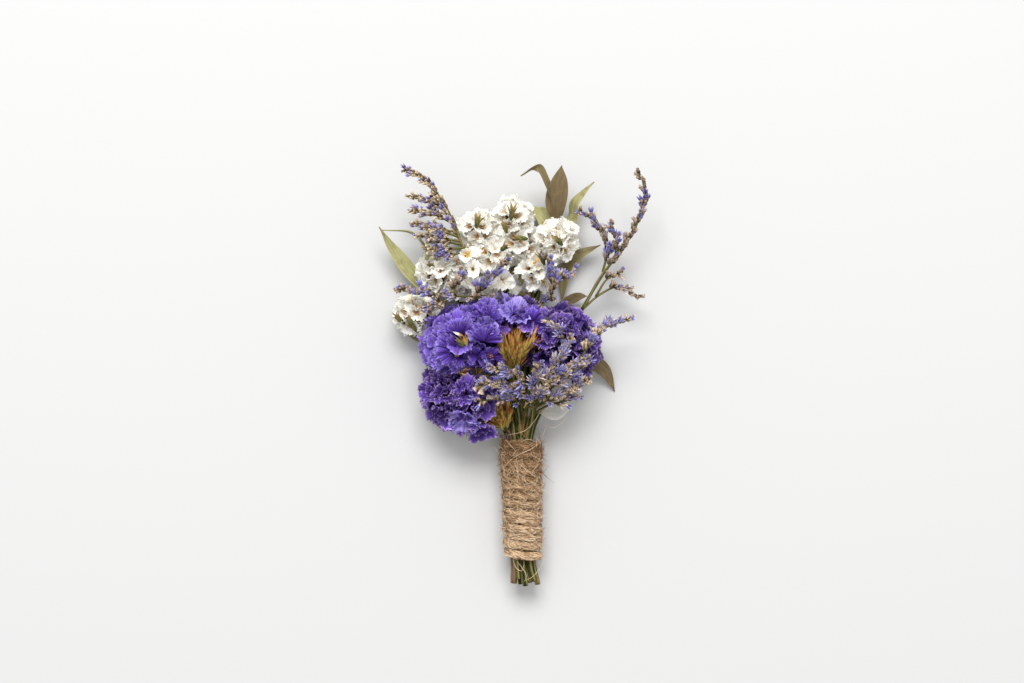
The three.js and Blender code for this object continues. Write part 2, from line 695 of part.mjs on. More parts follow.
twigNode(
  "leaf_twig_left",
  [
    stem("left_twig", [[-2, 28, 2.2], [-6.8, 42, 1.8], [-19, 52, 1.6], [-26, 58.5, 1.6]], 0.5),
    tube([[-19, 52, 1.6], [-22.5, 52, 1.4], [-27, 49, 1.4]], 0.45),
  ],
  [
    {
      midrib: [[-25.5, 58, 1.6], [-30.5, 62.8, 3], [-36, 69.6, 5], [-40.6, 77.4, 7.5]],
      width: 5.2,
      face: [0.5, 0.3, 0.8],
    },
    {
      midrib: [[-26.6, 59.6, 1.8], [-28.2, 64.6, 5], [-27.2, 70.4, 9], [-31.4, 75.6, 9.5], [-40, 76.6, 8.5]],
      width: 3,
      face: [0.8, 0.6, 0.2],
    },
    {
      midrib: [[-26, 49.4, 1.4], [-29, 46.6, 1.6], [-33.5, 50.5, 1.6], [-37, 54.4, 2]],
      width: 4,
      face: UP,
    },
  ],
);
twigNode(
  "leaf_twig_right",
  [
    stem("right_twig", [[1.6, 30, 2], [3.4, 50, 1.8], [6, 64, 1.6], [9.2, 74, 1.6], [10.4, 79.5, 3.4]], 0.45),
    tube([[3, 46, 1.8], [9, 52, 1.4], [12.6, 57.6, 1.6]], 0.45),
    tube([[1.9, 33, 2], [8, 36.6, 1.2], [14, 38, 1.2]], 0.45),
  ],
  [
    {
      midrib: [[10.2, 78.6, 3.2], [9.6, 84, 6.4], [10.6, 90, 8.4], [11.2, 94.8, 8.6]],
      width: 6.6,
      face: [-0.1, -0.2, 0.95],
    },
    {
      midrib: [[9.6, 80.5, 3.6], [7.6, 88, 8], [4.4, 94, 11.4], [-0.4, 91.6, 12.4]],
      width: 3,
      face: [0.9, -0.4, 0.3],
    },
    {
      midrib: [[9.6, 76, 2], [14.6, 79.6, 3.6], [15.6, 84.6, 6.4], [20.4, 90.2, 8]],
      width: 4.6,
      face: [-0.6, 0.3, 0.7],
    },
    {
      midrib: [[7.4, 68.6, 1.6], [8.4, 76, 2.2], [6.2, 80.6, 3.4], [1.2, 83.4, 4]],
      width: 6.4,
      face: [0.1, 0.1, 1],
    },
    {
      midrib: [[5, 58, 1.7], [-0.6, 60.4, 1.5], [-0.9, 66, 1.6], [-0.4, 70.6, 1.6]],
      width: 4,
      face: UP,
    },
    {
      midrib: [[11.5, 57, 1.5], [12.6, 64.6, 2.4], [16.6, 69.6, 3.6], [22.4, 72.4, 4.4]],
      width: 4,
      face: [-0.3, 0.3, 0.9],
    },
    {
      midrib: [[11, 54.6, 1.5], [13.4, 56.6, 2.2], [16.4, 57.8, 3], [18.6, 57.8, 3.6]],
      width: 2.8,
      face: UP,
    },
    {
      midrib: [[13, 38, 1.2], [18.5, 39.4, 2.4], [23.6, 36.4, 2.6], [26.6, 30.6, 0.25]],
      width: 5,
      face: [0.1, 0.2, 1],
    },
  ],
);

// The sprays' branches and the blooms' cores keep their room. White florets, the florets of the
// sprays and purple florets follow in that order, and each bends clear of all that is there already.
const branches = Object.values(SPRAYS).map(sprayBranches);

function addBlooms(kind, colour, material, reserved) {
  for (const [name, bloom] of Object.entries(BLOOMS)) {
    if (bloom.kind !== kind) continue;
    const cores = Object.values(BLOOMS).filter((other) => other !== bloom).map(coreOf);
    const florets = bloomSolids(bloom, [...finished, ...reserved, ...cores]);
    addNode(name.replace(colour, `${colour}_statice_bloom`), florets, material);
  }
}

addBlooms(WHITE, "white", FINISH.white, branches);
Object.entries(SPRAYS).forEach(([name, spray], k) => {
  const others = [...finished, ...branches.slice(k + 1), ...Object.values(BLOOMS).map(coreOf)];
  const florets = spray.spikes.flatMap(spikeFlorets).filter((floret) => isClear(floret, others));
  addNode(name, [branches[k], ...florets], FINISH.spray);
});
addBlooms(PURPLE, "purple", FINISH.purple, []);

export default model;
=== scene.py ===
# The looks of a dried-flower boutonniere. Each solid of the frame gets a finer piece of the same form.
# Lengths are in millimetres until a mesh is made. +X is right, +Y runs to the blooms, +Z is up.
import math

import bpy
import numpy as np
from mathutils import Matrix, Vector


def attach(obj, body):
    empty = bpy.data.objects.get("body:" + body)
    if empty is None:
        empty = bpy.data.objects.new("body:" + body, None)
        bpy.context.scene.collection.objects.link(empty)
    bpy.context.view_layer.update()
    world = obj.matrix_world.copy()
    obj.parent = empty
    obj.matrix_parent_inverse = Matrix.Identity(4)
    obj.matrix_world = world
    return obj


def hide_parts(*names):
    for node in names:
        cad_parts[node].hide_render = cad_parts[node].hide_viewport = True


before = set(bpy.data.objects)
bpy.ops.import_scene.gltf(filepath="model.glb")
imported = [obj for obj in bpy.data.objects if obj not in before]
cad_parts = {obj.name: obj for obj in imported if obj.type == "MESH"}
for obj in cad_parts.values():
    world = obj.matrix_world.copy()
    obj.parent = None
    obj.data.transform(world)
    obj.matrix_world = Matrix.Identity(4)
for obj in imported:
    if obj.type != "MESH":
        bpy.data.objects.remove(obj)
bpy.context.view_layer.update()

MM = 0.001
UP = (0, 0, 1)
ALONG = np.array([0.0, 1, 0])
FULL_TURN = 2 * math.pi
GOLDEN_ANGLE = math.pi * (3 - math.sqrt(5))
random = np.random.default_rng(11)

# Nothing dips below the table, and what rises above the soft top is pressed to this share of its rise
TABLE_AIR = 0.02
SOFT_TOP = 23.2
PRESSED = 0.25

# The same numbers as the solids
STEM_RADIUS = 0.75
OUTER_RING = 2.75
INNER_RING = 1.05
CUT_END = -24.4
CUT_SPLAY = 1.3
CUT_SHIFT = 0.5
BINDING_LEAN = -0.02
TWINE_PITCH = 2.35
TWINE_TURNS = 14
TWINE_COIL_RADIUS = 4.98
TWINE_FLARE = 0.45
AXIS_HEIGHT = 5.5
HALF_TURNS = TWINE_TURNS / 2
HALF_BINDING = TWINE_TURNS * TWINE_PITCH / 2
STEM_TOP = HALF_BINDING + 0.4
TILTS = (0, 14, 28, 42)
TILT_WAYS = 6
CALYX_WALL = 0.06
PURPLE = dict(length=9, mouth=4.3, throat=0.9, flare=0.62, sides=7, reach=10.2, core=2.1)
WHITE = dict(length=5.7, mouth=3.2, throat=0.7, flare=0.6, sides=6, reach=6.5, core=1.5)
BRACT_LENGTH = 11
FLORET = dict(length=3.8, spacing=2.5, lean=50)
SPIKE_RADIUS = 0.5
SPIKE_TIP_RADIUS = 0.35
LEAF = dict(narrowest=0.35, fold=18, widest_at=0.45)

# How far apart the further calyces stand, and where none do: middle and half width in X, lowest and top Y
PURPLE.update(gap=3.4, bare=(-2, 7, 0, 49))
WHITE.update(gap=2.5, bare=(-2.4, 2.4, 55, 68))
# A rim point of the solid this near to a guessed one confirms it
CONFIRMED = 0.09


# Vectors and curves
def unit(v):
    return v / np.linalg.norm(v, axis=-1, keepdims=True)


def chance(k):
    """A number from 0 to 1 that is always the same for the same k, and looks random from k to k."""
    s = math.sin(k * 12.9898) * 43758.5453
    return s - math.floor(s)


def square_to(d):
    u = unit(np.cross((0, 0, 1) if abs(d[2]) < 0.9 else (0, 1, 0), d))
    return u, np.cross(d, u)


def around(u, v, angle):
    return np.cos(angle)[..., None] * u + np.sin(angle)[..., None] * v


def circle(count):
    return np.linspace(0, FULL_TURN, count, endpoint=False)


def stacked(*parts):
    return np.stack(np.broadcast_arrays(*parts), -1)


def lengths_along(points):
    return np.concatenate([[0], np.linalg.norm(np.diff(points, axis=0), axis=1).cumsum()])


def cap_directions(axis, spread, count, seed):
    """Directions that fill a cap round an axis evenly, as seeds fill a flower head."""
    u, v = square_to(axis)
    depth = 1 - math.cos(math.radians(spread))
    made = []
    for i in range(count):
        along = 1 - depth * (i + 0.5) / count
        across = math.sqrt(1 - along * along)
        made.append(unit(axis * along + across * around(u, v, i * GOLDEN_ANGLE + seed)))
    return made


class Curve:
    """A smooth curve through points, the same as the solids follow."""

    def __init__(self, points):
        p = np.array(points, float)
        self.p = np.vstack([2 * p[0] - p[1], p, 2 * p[-1] - p[-2]])
        self.spans = len(points) - 1

    def at(self, t):
        s = np.clip(np.atleast_1d(t), 0, 1) * self.spans
        i = np.minimum(s.astype(int), self.spans - 1)
        w = (s - i)[:, None]
        a, b, c, d = (self.p[i + k] for k in range(4))
        m, n = (c - a) / 2, (d - b) / 2
        return b + m * w + (3 * (c - b) - 2 * m - n) * w**2 + (2 * (b - c) + m + n) * w**3

    def tangent(self, t):
        t = np.atleast_1d(t)
        return unit(self.at(np.clip(t + 1e-4, 0, 1)) - self.at(np.clip(t - 1e-4, 0, 1)))

    def length(self):
        return lengths_along(self.at(np.arange(201) / 200))[-1]


def frames_along(points):
    """Two directions square to a line of points at each point, which turn as little as they can."""
    tangents = unit(np.gradient(points, axis=0))
    u = square_to(tangents[0])[0]
    us = []
    for t in tangents:
        u = unit(u - t * np.dot(u, t))
        us.append(u)
    return tangents, np.array(us), np.cross(tangents, us)


# Meshes
class Piece:
    """Collects the points and four-cornered faces of one piece. Each point has along, from root to tip;
    tone, a shade of its own; and grain, the place where the material reads its streaks."""

    def __init__(self, name):
        self.name = name
        self.rows = []
        self.total = 0

    def add(self, points, faces, kind=0, along=0.0, tone=0.5, grain=None):
        points = np.reshape(points, (-1, 3))
        n = len(points)
        grain = points if grain is None else np.reshape(grain, (-1, 3))
        kinds = np.broadcast_to(kind, len(faces))
        along, tone = (np.broadcast_to(np.ravel(share), n) for share in (along, tone))
        self.rows.append((points, np.asarray(faces) + self.total, kinds, along, tone, grain))
        self.total += n

    def finish(self, node, materials):
        points, faces, kinds, along, tone, grain = (np.concatenate(part) for part in zip(*self.rows))
        high = points[:, 2] > SOFT_TOP
        points[high, 2] = SOFT_TOP + PRESSED * (points[high, 2] - SOFT_TOP)
        points[:, 2] = np.maximum(points[:, 2], TABLE_AIR)
        mesh = bpy.data.meshes.new(self.name)
        mesh.vertices.add(len(points))
        mesh.vertices.foreach_set("co", np.ravel(points * MM))
        mesh.loops.add(4 * len(faces))
        mesh.loops.foreach_set("vertex_index", np.ravel(faces))
        mesh.polygons.add(len(faces))
        mesh.polygons.foreach_set("loop_start", 4 * np.arange(len(faces)))
        mesh.polygons.foreach_set("material_index", kinds)
        for name, kind, key, values in (
            ("along", "FLOAT", "value", along),
            ("tone", "FLOAT", "value", tone),
            ("grain", "FLOAT_VECTOR", "vector", grain),
        ):
            layer = mesh.attributes.new(name, kind, "POINT")
            layer.data.foreach_set(key, np.ravel(values).astype(np.float32))
        mesh.update(calc_edges=True)
        mesh.shade_smooth()
        for material in materials:
            mesh.materials.append(material)
        made = bpy.data.objects.new(self.name, mesh)
        bpy.context.scene.collection.objects.link(made)
        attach(made, "root")
        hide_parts(node)


def quads(rows, columns, closed=True):
    """The faces of a sheet of points in rows and columns. Its last column meets its first if it is closed."""
    i, j = np.meshgrid(np.arange(rows - 1), np.arange(columns - (not closed)), indexing="ij")
    a, b = i * columns + j, i * columns + (j + 1) % columns
    return np.stack([a, b, b + columns, a + columns], -1).reshape(-1, 4)


# How fast the place where a material reads its streaks moves round a piece, along it, and with its tone
STREAKS_ROUND = 2.5
STREAKS_ALONG = 0.3
STREAKS_APART = 50
# How small the tip of a closed tube is, and the rings of a cut face with the shade of each
CLOSED_TIP = 0.03
CUT_RINGS = np.array([0.03, 0.3, 0.85, 1.0])
CUT_SHADES = (0, 0.2, 0.6, 1)


def add_tube(piece, points, radii, sides=8, kind=0, tone=0.5, ribs=0, rib=0.0, twist=0.0, cut_kind=None):
    """A round or winged stem along points, closed at both ends. along is 0 in a groove and 1 on a rib, so the
    ramp paints shade into the grooves.
    """
    points = np.asarray(points, float)
    radii = np.broadcast_to(np.asarray(radii, float), len(points))
    tangents, u, v = frames_along(points)
    tip = points[-1:] + tangents[-1:] * radii[-1] * 0.3
    ends = np.vstack([points[:1] - tangents[:1] * 0.02, points, tip])
    u, v = (np.vstack([w[:1], w, w[-1:]])[:, None] for w in (u, v))
    radii = np.concatenate([[radii[0] * CLOSED_TIP], radii, [radii[-1] * CLOSED_TIP]])
    angle = circle(sides)
    length = lengths_along(ends)[:, None]
    # Painted shade: the grooves between the ribs take the dark end of a material's ramp, and the ribs take
    # its light end.
    ridge_and_groove_shade = (0.5 + 0.5 * np.cos(ribs * (angle + twist * length))) ** 2
    r = radii[:, None] * (1 - rib + 2 * rib * ridge_and_groove_shade)
    made = ends[:, None] + around(u, v, angle) * r[..., None]
    grain = stacked(STREAKS_ROUND * np.cos(angle), STREAKS_ROUND * np.sin(angle),
                    STREAKS_ALONG * length + STREAKS_APART * tone)
    piece.add(made, quads(len(ends), sides), kind, ridge_and_groove_shade, tone, grain)
    if cut_kind is not None:
        centre = points[0] - 0.03 * tangents[0]
        disc = centre + CUT_RINGS[:, None, None] * (made[1] - points[0])
        disc[1] += 0.06 * tangents[0]
        piece.add(disc, quads(len(CUT_RINGS), sides), cut_kind, np.repeat(CUT_SHADES, sides), tone)


def add_blade(piece, root, direction, up, length, width, kind=0, tone=0.5, cup=0.3, bend=0.0,
              rows=6, columns=5, fullness=0.7, along=(0, 1)):
    """A small pointed scale or petal, cupped across and bent along its length."""
    side = unit(np.cross(direction, up))
    up = np.cross(side, direction)
    t = np.linspace(0, 1, rows)[:, None, None]
    x = np.linspace(-1, 1, columns)[None, :, None]
    half = width / 2 * (np.sin(math.pi * np.clip(t, 0.03, 0.985) ** fullness) * 0.9 + 0.1 * (1 - t))
    middle = root + direction * length * t + up * bend * length * t**2
    made = middle + side * x * half + up * cup * half * x**2
    grain = stacked(x * STREAKS_ROUND, t * length * STREAKS_ALONG, STREAKS_APART * tone)
    share = np.broadcast_to(along[0] + (along[1] - along[0]) * t, (rows, columns, 1))
    piece.add(made, quads(rows, columns, False), kind, share, tone, grain)


def add_strands(piece, paths, radii, tones, kind=1):
    """Many thin fibres at once, each three-sided and finer towards its ends."""
    count, steps = paths.shape[:2]
    tangents = np.gradient(paths, axis=1)
    u = unit(np.cross(tangents, (0.31, 0.52, 0.79)))
    v = unit(np.cross(tangents, u))
    fine = np.sin(math.pi * np.linspace(0.06, 0.94, steps)) ** 0.6
    r = radii[:, None, None, None] * fine[:, None, None]
    made = paths[:, :, None] + around(u[:, :, None], v[:, :, None], circle(3)) * r
    faces = quads(steps, 3)[None] + 3 * steps * np.arange(count)[:, None, None]
    piece.add(made, faces.reshape(-1, 4), kind, np.repeat(np.clip(tones, 0, 1), 3 * steps), 0.5)


# Materials
SHEEN = 0.12
STREAK_DEPTH = 0.0003


def linear(rgb):
    """A colour of 0 to 255 as the shaders take it."""
    shares = [v / 255 for v in rgb]
    return [c / 12.92 if c <= 0.04045 else ((c + 0.055) / 1.055) ** 2.4 for c in shares] + [1]


def give(tree, socket, value):
    """Links a socket to another one, or sets its number or colour."""
    if isinstance(value, bpy.types.NodeSocket):
        tree.links.new(value, socket)
    else:
        socket.default_value = value


def node(tree, kind, inputs=None, **settings):
    made = tree.nodes.new("ShaderNode" + kind)
    for name, value in settings.items():
        setattr(made, name, value)
    for name, value in (inputs or {}).items():
        give(tree, made.inputs[name], value)
    return made


def ramp(tree, factor, stops):
    made = node(tree, "ValToRGB", {"Fac": factor})
    elements = made.color_ramp.elements
    while len(elements) < len(stops):
        elements.new(0.5)
    for element, (place, colour) in zip(elements, stops):
        element.position, element.color = place, linear(colour)
    return made.outputs["Color"]


def mix(tree, a, b, factor=1.0, blend="MIX"):
    made = node(tree, "Mix", {0: factor, 6: a, 7: b}, data_type="RGBA", blend_type=blend, clamp_result=True)
    return made.outputs[2]


def remap(tree, value, low, high, start=0.3, end=0.7):
    limits = {"From Min": start, "From Max": end, "To Min": low, "To Max": high}
    return node(tree, "MapRange", {"Value": value, **limits}).outputs["Result"]


def plant(name, stops, streak=(0.6, 1.12), edge=(0.3, 0.7), grain=1.0, tones=(0.75, 1.2), speckle=None,
          speckle_scale=900, speckle_edge=(0.58, 0.66), rough=0.75, through=0.0, clear=0.0, bump=0.3,
          tint=None):
    """A dried plant or fibre: a ramp from root to tip, streaks along the grain, and a shade of its own."""
    made = bpy.data.materials.new(name)
    made.use_nodes = True
    tree = made.node_tree
    tree.nodes.clear()
    along = node(tree, "Attribute", attribute_name="along").outputs["Fac"]
    tone = node(tree, "Attribute", attribute_name="tone").outputs["Fac"]
    place = node(tree, "Attribute", attribute_name="grain").outputs["Vector"]
    colour = ramp(tree, along, stops)
    noise = {"Vector": place, "Scale": grain, "Detail": 4.0, "Roughness": 0.65}
    streaks = node(tree, "TexNoise", noise).outputs["Fac"]
    if tint:
        colour = mix(tree, colour, linear(tint), remap(tree, tone, 0, 0.8, 0.55, 1.0))
    shade = remap(tree, streaks, *streak, *edge)
    own = remap(tree, tone, *tones, 0.0, 1.0)
    both = node(tree, "Math", {0: shade, 1: own}, operation="MULTIPLY").outputs[0]
    grey = node(tree, "CombineColor", {"Red": both, "Green": both, "Blue": both}).outputs["Color"]
    colour = mix(tree, colour, grey, 1.0, "MULTIPLY")
    if speckle:
        surface_place = node(tree, "TexCoord").outputs["Object"]
        noise = {"Vector": surface_place, "Scale": speckle_scale, "Detail": 3.0}
        spots = node(tree, "TexNoise", noise).outputs["Fac"]
        colour = mix(tree, colour, linear(speckle), remap(tree, spots, 0, 0.75, *speckle_edge))
    relief = {"Height": streaks, "Strength": bump, "Distance": STREAK_DEPTH}
    height = node(tree, "Bump", relief).outputs["Normal"]
    skin = {"Base Color": colour, "Roughness": rough, "Normal": height, "Specular IOR Level": SHEEN}
    surface = node(tree, "BsdfPrincipled", skin).outputs["BSDF"]
    if through:
        behind = node(tree, "BsdfTranslucent", {"Color": colour, "Normal": height}).outputs["BSDF"]
        surface = node(tree, "MixShader", {0: through, 1: surface, 2: behind}).outputs["Shader"]
    if clear:
        gap = node(tree, "BsdfTransparent").outputs["BSDF"]
        surface = node(tree, "MixShader", {0: clear, 1: surface, 2: gap}).outputs["Shader"]
    node(tree, "OutputMaterial", {"Surface": surface})
    return made


PURPLE_PETAL = plant(
    "purple_petal",
    [(0.0, (120, 104, 56)), (0.3, (136, 74, 48)), (0.42, (104, 46, 72)), (0.52, (70, 36, 126)),
     (0.7, (98, 64, 176)), (0.88, (120, 90, 194)), (0.95, (138, 112, 204)), (1.0, (164, 146, 216))],
    streak=(0.5, 1.35), edge=(0.36, 0.62), grain=1.1, tones=(0.75, 1.3), rough=0.8, through=0.42, bump=0.5,
    tint=(168, 154, 222),
)
PURPLE_RUFFLE = plant(
    "purple_ruffle",
    [(0.0, (120, 104, 56)), (0.3, (136, 74, 48)), (0.42, (104, 46, 72)), (0.52, (54, 28, 88)),
     (0.75, (84, 54, 150)), (0.92, (112, 84, 178)), (0.96, (142, 114, 192)), (1.0, (188, 164, 210))],
    streak=(0.5, 1.4), edge=(0.38, 0.64), grain=1.1, tones=(0.7, 1.4), rough=0.75, through=0.22, bump=0.6,
    tint=(184, 168, 238),
)
WHITE_PETAL = plant(
    "white_petal",
    [(0.0, (150, 146, 100)), (0.42, (200, 164, 130)), (0.5, (230, 206, 176)), (0.6, (253, 250, 238)),
     (1.0, (250, 249, 243))],
    streak=(0.95, 1.02), edge=(0.36, 0.54), grain=1.1, tones=(0.98, 1.01), rough=0.9, through=0.36, bump=0.14,
)
BRACT = plant(
    "bract",
    [(0.0, (150, 158, 92)), (0.3, (194, 182, 100)), (0.64, (218, 182, 94)), (0.86, (180, 104, 66)),
     (1.0, (116, 54, 44))],
    streak=(0.55, 1.2), grain=1.4, tones=(0.85, 1.15), rough=0.7, through=0.15, bump=0.4, tint=(170, 74, 48),
)
GREEN_BRACT = plant(
    "green_bract",
    [(0.0, (104, 112, 60)), (0.6, (136, 128, 78)), (1.0, (176, 138, 100))],
    streak=(0.5, 1.15), grain=1.4, tones=(0.6, 1.3), rough=0.7, through=0.1, bump=0.4,
)
DRY_HEART = plant(
    "dry_heart",
    [(0.0, (170, 122, 94)), (0.5, (210, 170, 134)), (1.0, (238, 214, 178))],
    streak=(0.7, 1.1), grain=1.5, tones=(0.75, 1.2), rough=0.7, through=0.1, tint=(250, 206, 96),
)
# The dark first stop of this ramp is painted shade, which the grooves between a stem's ribs take.
STEM = plant(
    "stem_green",
    [(0.0, (30, 36, 16)), (0.35, (68, 76, 32)), (1.0, (148, 142, 80))],
    streak=(0.4, 1.2), grain=1.0, tones=(0.7, 1.2), speckle=(132, 106, 66), speckle_scale=160,
    rough=0.6, bump=0.5,
)
TWIG = plant(
    "twig_brown",
    [(0.0, (126, 98, 76)), (1.0, (160, 130, 104))],
    streak=(0.5, 1.12), grain=1.2, tones=(0.7, 1.25), speckle=(98, 88, 58), speckle_scale=300,
    rough=0.7, bump=0.5,
)
CUT_FACE = plant(
    "cut_face", [(0.0, (196, 190, 140)), (0.5, (208, 208, 160)), (1.0, (132, 138, 76))],
    grain=6.0, rough=0.8,
)
# The dark first stop of this ramp is painted shade, which the grooves between a stem's ribs take.
SPRAY_STEM = plant(
    "spray_stem",
    [(0.0, (70, 72, 36)), (0.5, (102, 100, 54)), (1.0, (146, 136, 86))],
    streak=(0.55, 1.15), grain=1.2, tones=(0.5, 1.3), speckle=(132, 98, 70), speckle_scale=400,
    rough=0.65, bump=0.4,
)
SPRAY_PETAL = plant(
    "spray_petal",
    [(0.0, (54, 42, 30)), (0.16, (108, 90, 66)), (0.42, (214, 192, 152)), (0.46, (122, 102, 86)),
     (0.6, (216, 194, 172)), (0.64, (92, 82, 156)), (0.82, (124, 118, 194)), (1.0, (200, 200, 236))],
    streak=(0.6, 1.2), grain=1.6, tones=(0.75, 1.3), rough=0.75, through=0.15, tint=(206, 190, 148),
)
PALE_SPRAY_PETAL = plant(
    "pale_spray_petal",
    [(0.0, (56, 44, 34)), (0.1, (112, 90, 66)), (0.24, (196, 180, 136)), (0.42, (244, 234, 202)),
     (0.46, (112, 88, 72)), (0.6, (232, 214, 184)), (0.64, (72, 62, 134)), (0.82, (110, 100, 172)),
     (1.0, (188, 180, 218))],
    streak=(0.7, 1.2), grain=1.6, tones=(1.3, 0.9), rough=0.75, through=0.25, tint=(78, 54, 40),
)
FILM = plant(
    "film",
    [(0.0, (206, 202, 180)), (0.7, (228, 228, 218)), (1.0, (250, 250, 246))],
    streak=(0.8, 1.1), grain=0.8, rough=0.3, through=0.3, bump=0.6, clear=0.55,
)
LEAF_SKIN = plant(
    "leaf_skin",
    [(0.0, (148, 138, 98)), (0.35, (168, 165, 116)), (1.0, (182, 178, 128))],
    streak=(0.7, 1.1), grain=0.9, tones=(1.0, 0.76), speckle=(122, 106, 70), speckle_scale=420,
    speckle_edge=(0.5, 0.72), rough=0.5, through=0.06, bump=0.35, tint=(110, 84, 64),
)
# Its dark end is painted shade, which the top of the binding takes under the blooms.
JUTE = plant(
    "jute",
    [(0.0, (222, 184, 142)), (0.5, (202, 164, 124)), (0.8, (150, 118, 88)), (1.0, (112, 84, 60))],
    streak=(0.42, 1.25), edge=(0.36, 0.62), grain=1.6, tones=(0.8, 1.15), rough=0.9, bump=0.8,
)
FIBRE = plant(
    "fibre",
    [(0.0, (82, 58, 40)), (0.35, (146, 112, 80)), (0.65, (198, 164, 126)), (1.0, (244, 222, 192))],
    streak=(0.8, 1.1), tones=(1, 1), rough=0.85, through=0.1, bump=0.1,
)


# Stems: ring radius, angle in the binding, and how much shorter than the longest
STEMS = {
    "purple_main": (OUTER_RING, 90, 0),
    "front_spray": (OUTER_RING, 50, 1.2),
    "purple_right": (OUTER_RING, 10, 0.2),
    "right_spray": (OUTER_RING, -30, 0.9),
    "right_twig": (OUTER_RING, -70, 0.4),
    "left_twig": (OUTER_RING, -110, 1.5),
    "white_left": (OUTER_RING, -150, 0.3),
    "purple_left": (OUTER_RING, 170, 0.6),
    "left_spray": (OUTER_RING, 130, 1.9),
    "middle_spray": (INNER_RING, 70, 1.1),
    "white_middle": (INNER_RING, 190, 0.2),
    "white_right": (INNER_RING, 310, 0.8),
}
BROWN_STEM = "purple_left"
# The least spacing of the points along a stem
STEM_STEP = 1.2


def bound_point(ring, angle, y):
    swing = math.radians(angle)
    return [BINDING_LEAN * y + ring * math.cos(swing), y, AXIS_HEIGHT + ring * math.sin(swing)]


def stem_points(name, points):
    ring, angle, cut = STEMS[name]
    x, y, z = bound_point(ring, angle, CUT_END + cut)
    bound = [bound_point(ring, angle, along) for along in (-HALF_BINDING, 0, STEM_TOP)]
    return [[x * CUT_SPLAY + CUT_SHIFT, y, z], *bound, *points]


def add_stem(piece, name, points, end_radius=STEM_RADIUS, kind=0, rib=0.3, cut_kind=1):
    curve = Curve(stem_points(name, points))
    t = np.linspace(0, 1, int(curve.length() / STEM_STEP) + 1)
    own = sum(map(ord, name))
    wobble = 1 + 0.05 * np.sin(t * 60 + own)
    radii = (STEM_RADIUS * 0.95 + (end_radius - STEM_RADIUS) * t) * wobble
    add_tube(piece, curve.at(t), radii, 18, kind, chance(own), 3, rib, 0.06, cut_kind)


def add_branch(piece, points, start, end=None, kind=0, tone=0.5, sides=8, rib=0.2):
    curve = Curve(points)
    t = np.linspace(0, 1, max(4, int(curve.length())) + 1)
    end = start if end is None else end
    add_tube(piece, curve.at(t), start + (end - start) * t, sides, kind, tone, 3, rib, 0.1)


# Blooms: their core, then each clump's base, axis, spread and most florets
BLOOMS = {
    "purple_right": (PURPLE, [(11.4, 41, 8.5), (10.5, 45.2, 8.8)], [
        ((11.2, 42.2, 8.6), (0.9, 0.05, 0.4), 52, 9),
        ((10.6, 44.8, 8.8), (0.4, 0.75, 0.5), 42, 6),
    ]),
    "purple_main": (PURPLE, [(-19, 44, 10.5), (-14, 46.5, 10.5), (-8, 48, 10), (-2, 48.5, 9.5),
                             (3, 46.5, 9.5), (7, 44.5, 9.5)], [
        ((-18, 44.5, 10.5), (-0.85, -0.05, 0.45), 50, 9),
        ((-11, 47.3, 10.3), (-0.1, -0.05, 1), 42, 7),
        ((-16, 45.5, 10.5), (-0.25, -0.55, 0.8), 44, 8),
        ((-14, 46.5, 10.5), (-0.45, 0.65, 0.6), 48, 8),
        ((-8, 48, 10), (-0.1, 0.8, 0.6), 48, 8),
        ((-2, 48.5, 9.5), (0.05, 0.7, 0.7), 48, 8),
        ((4, 46, 9.5), (0.3, 0.5, 0.8), 48, 8),
        ((7, 44.5, 9.5), (0.5, -0.1, 0.85), 42, 6),
    ]),
    "purple_left": (PURPLE, [(-12, 27, 7.5), (-15.5, 28.5, 8), (-18.5, 30.5, 8.3)], [
        ((-18, 30.5, 8.3), (-0.75, 0.45, 0.45), 48, 8),
        ((-15.5, 29, 8.2), (-0.15, 0, 1), 52, 9),
        ((-18, 29.7, 8.2), (-0.93, -0.2, 0), 50, 8),
        ((-14.5, 28, 7.8), (-0.4, -0.5, 0.65), 46, 8),
        ((-12, 27, 7.5), (0.2, -0.45, 0.85), 34, 4),
    ]),
    "white_low_left": (WHITE, [(-29, 52.2, 4.2), (-30.5, 52.6, 5.2)], [
        ((-30.2, 52.6, 5), (-0.2, 0.1, 1), 80, 13),
    ]),
    "white_left": (WHITE, [(-23.4, 64, 4.2), (-23.8, 65, 5)], [
        ((-23.8, 65, 4.8), (-0.1, 0.1, 1), 82, 14),
        ((-23.6, 64.6, 4.6), (-0.55, 0.1, -0.7), 25, 3),
    ]),
    "white_mid_left": (WHITE, [(-16, 62.5, 4.4), (-15.8, 63.6, 5.6)], [
        ((-15.8, 63.4, 5.4), (0, 0.1, 1), 72, 11),
    ]),
    "white_centre": (WHITE, [(-6.9, 61.8, 4.6), (-7.8, 66, 4.8), (-8.3, 70, 5)], [
        ((-8.3, 69.6, 5), (0, 0.1, 1), 76, 13),
        ((-7, 62.6, 4.7), (0, -0.1, 1), 40, 4),
    ]),
    "white_top_left": (WHITE, [(-11.6, 74.8, 4.2), (-11.8, 76.2, 4.8)], [
        ((-11.8, 76, 4.7), (-0.2, 0.3, 0.95), 72, 11),
    ]),
    "white_top": (WHITE, [(-0.8, 72.4, 4.6), (-1.6, 76, 4.8), (-2.7, 80, 5)], [
        ((-2.7, 79.6, 5), (-0.05, 0.2, 1), 74, 10),
        ((-1, 73.2, 4.7), (0.1, -0.05, 1), 60, 8),
    ]),
    "white_right": (WHITE, [(9.2, 72.4, 4.8), (9.4, 74, 5.2)], [
        ((9.4, 73.8, 5), (0.1, 0.1, 1), 82, 14),
        ((9.4, 73.6, 4.9), (0.75, 0.1, -0.65), 25, 3),
    ]),
    "white_front": (WHITE, [(3.4, 64, 4.6), (3.4, 65.4, 5.4)], [
        ((3.4, 65.2, 5.2), (0.05, 0, 1), 80, 13),
    ]),
}


def node_points(name):
    return np.array([v.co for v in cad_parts[name].data.vertices]) / MM


def touches(solid_points, points):
    """How many of the points lie on a vertex of the solid."""
    gaps = np.linalg.norm(solid_points[None] - np.atleast_2d(points)[:, None], axis=2).min(axis=1)
    return int((gaps < CONFIRMED).sum())


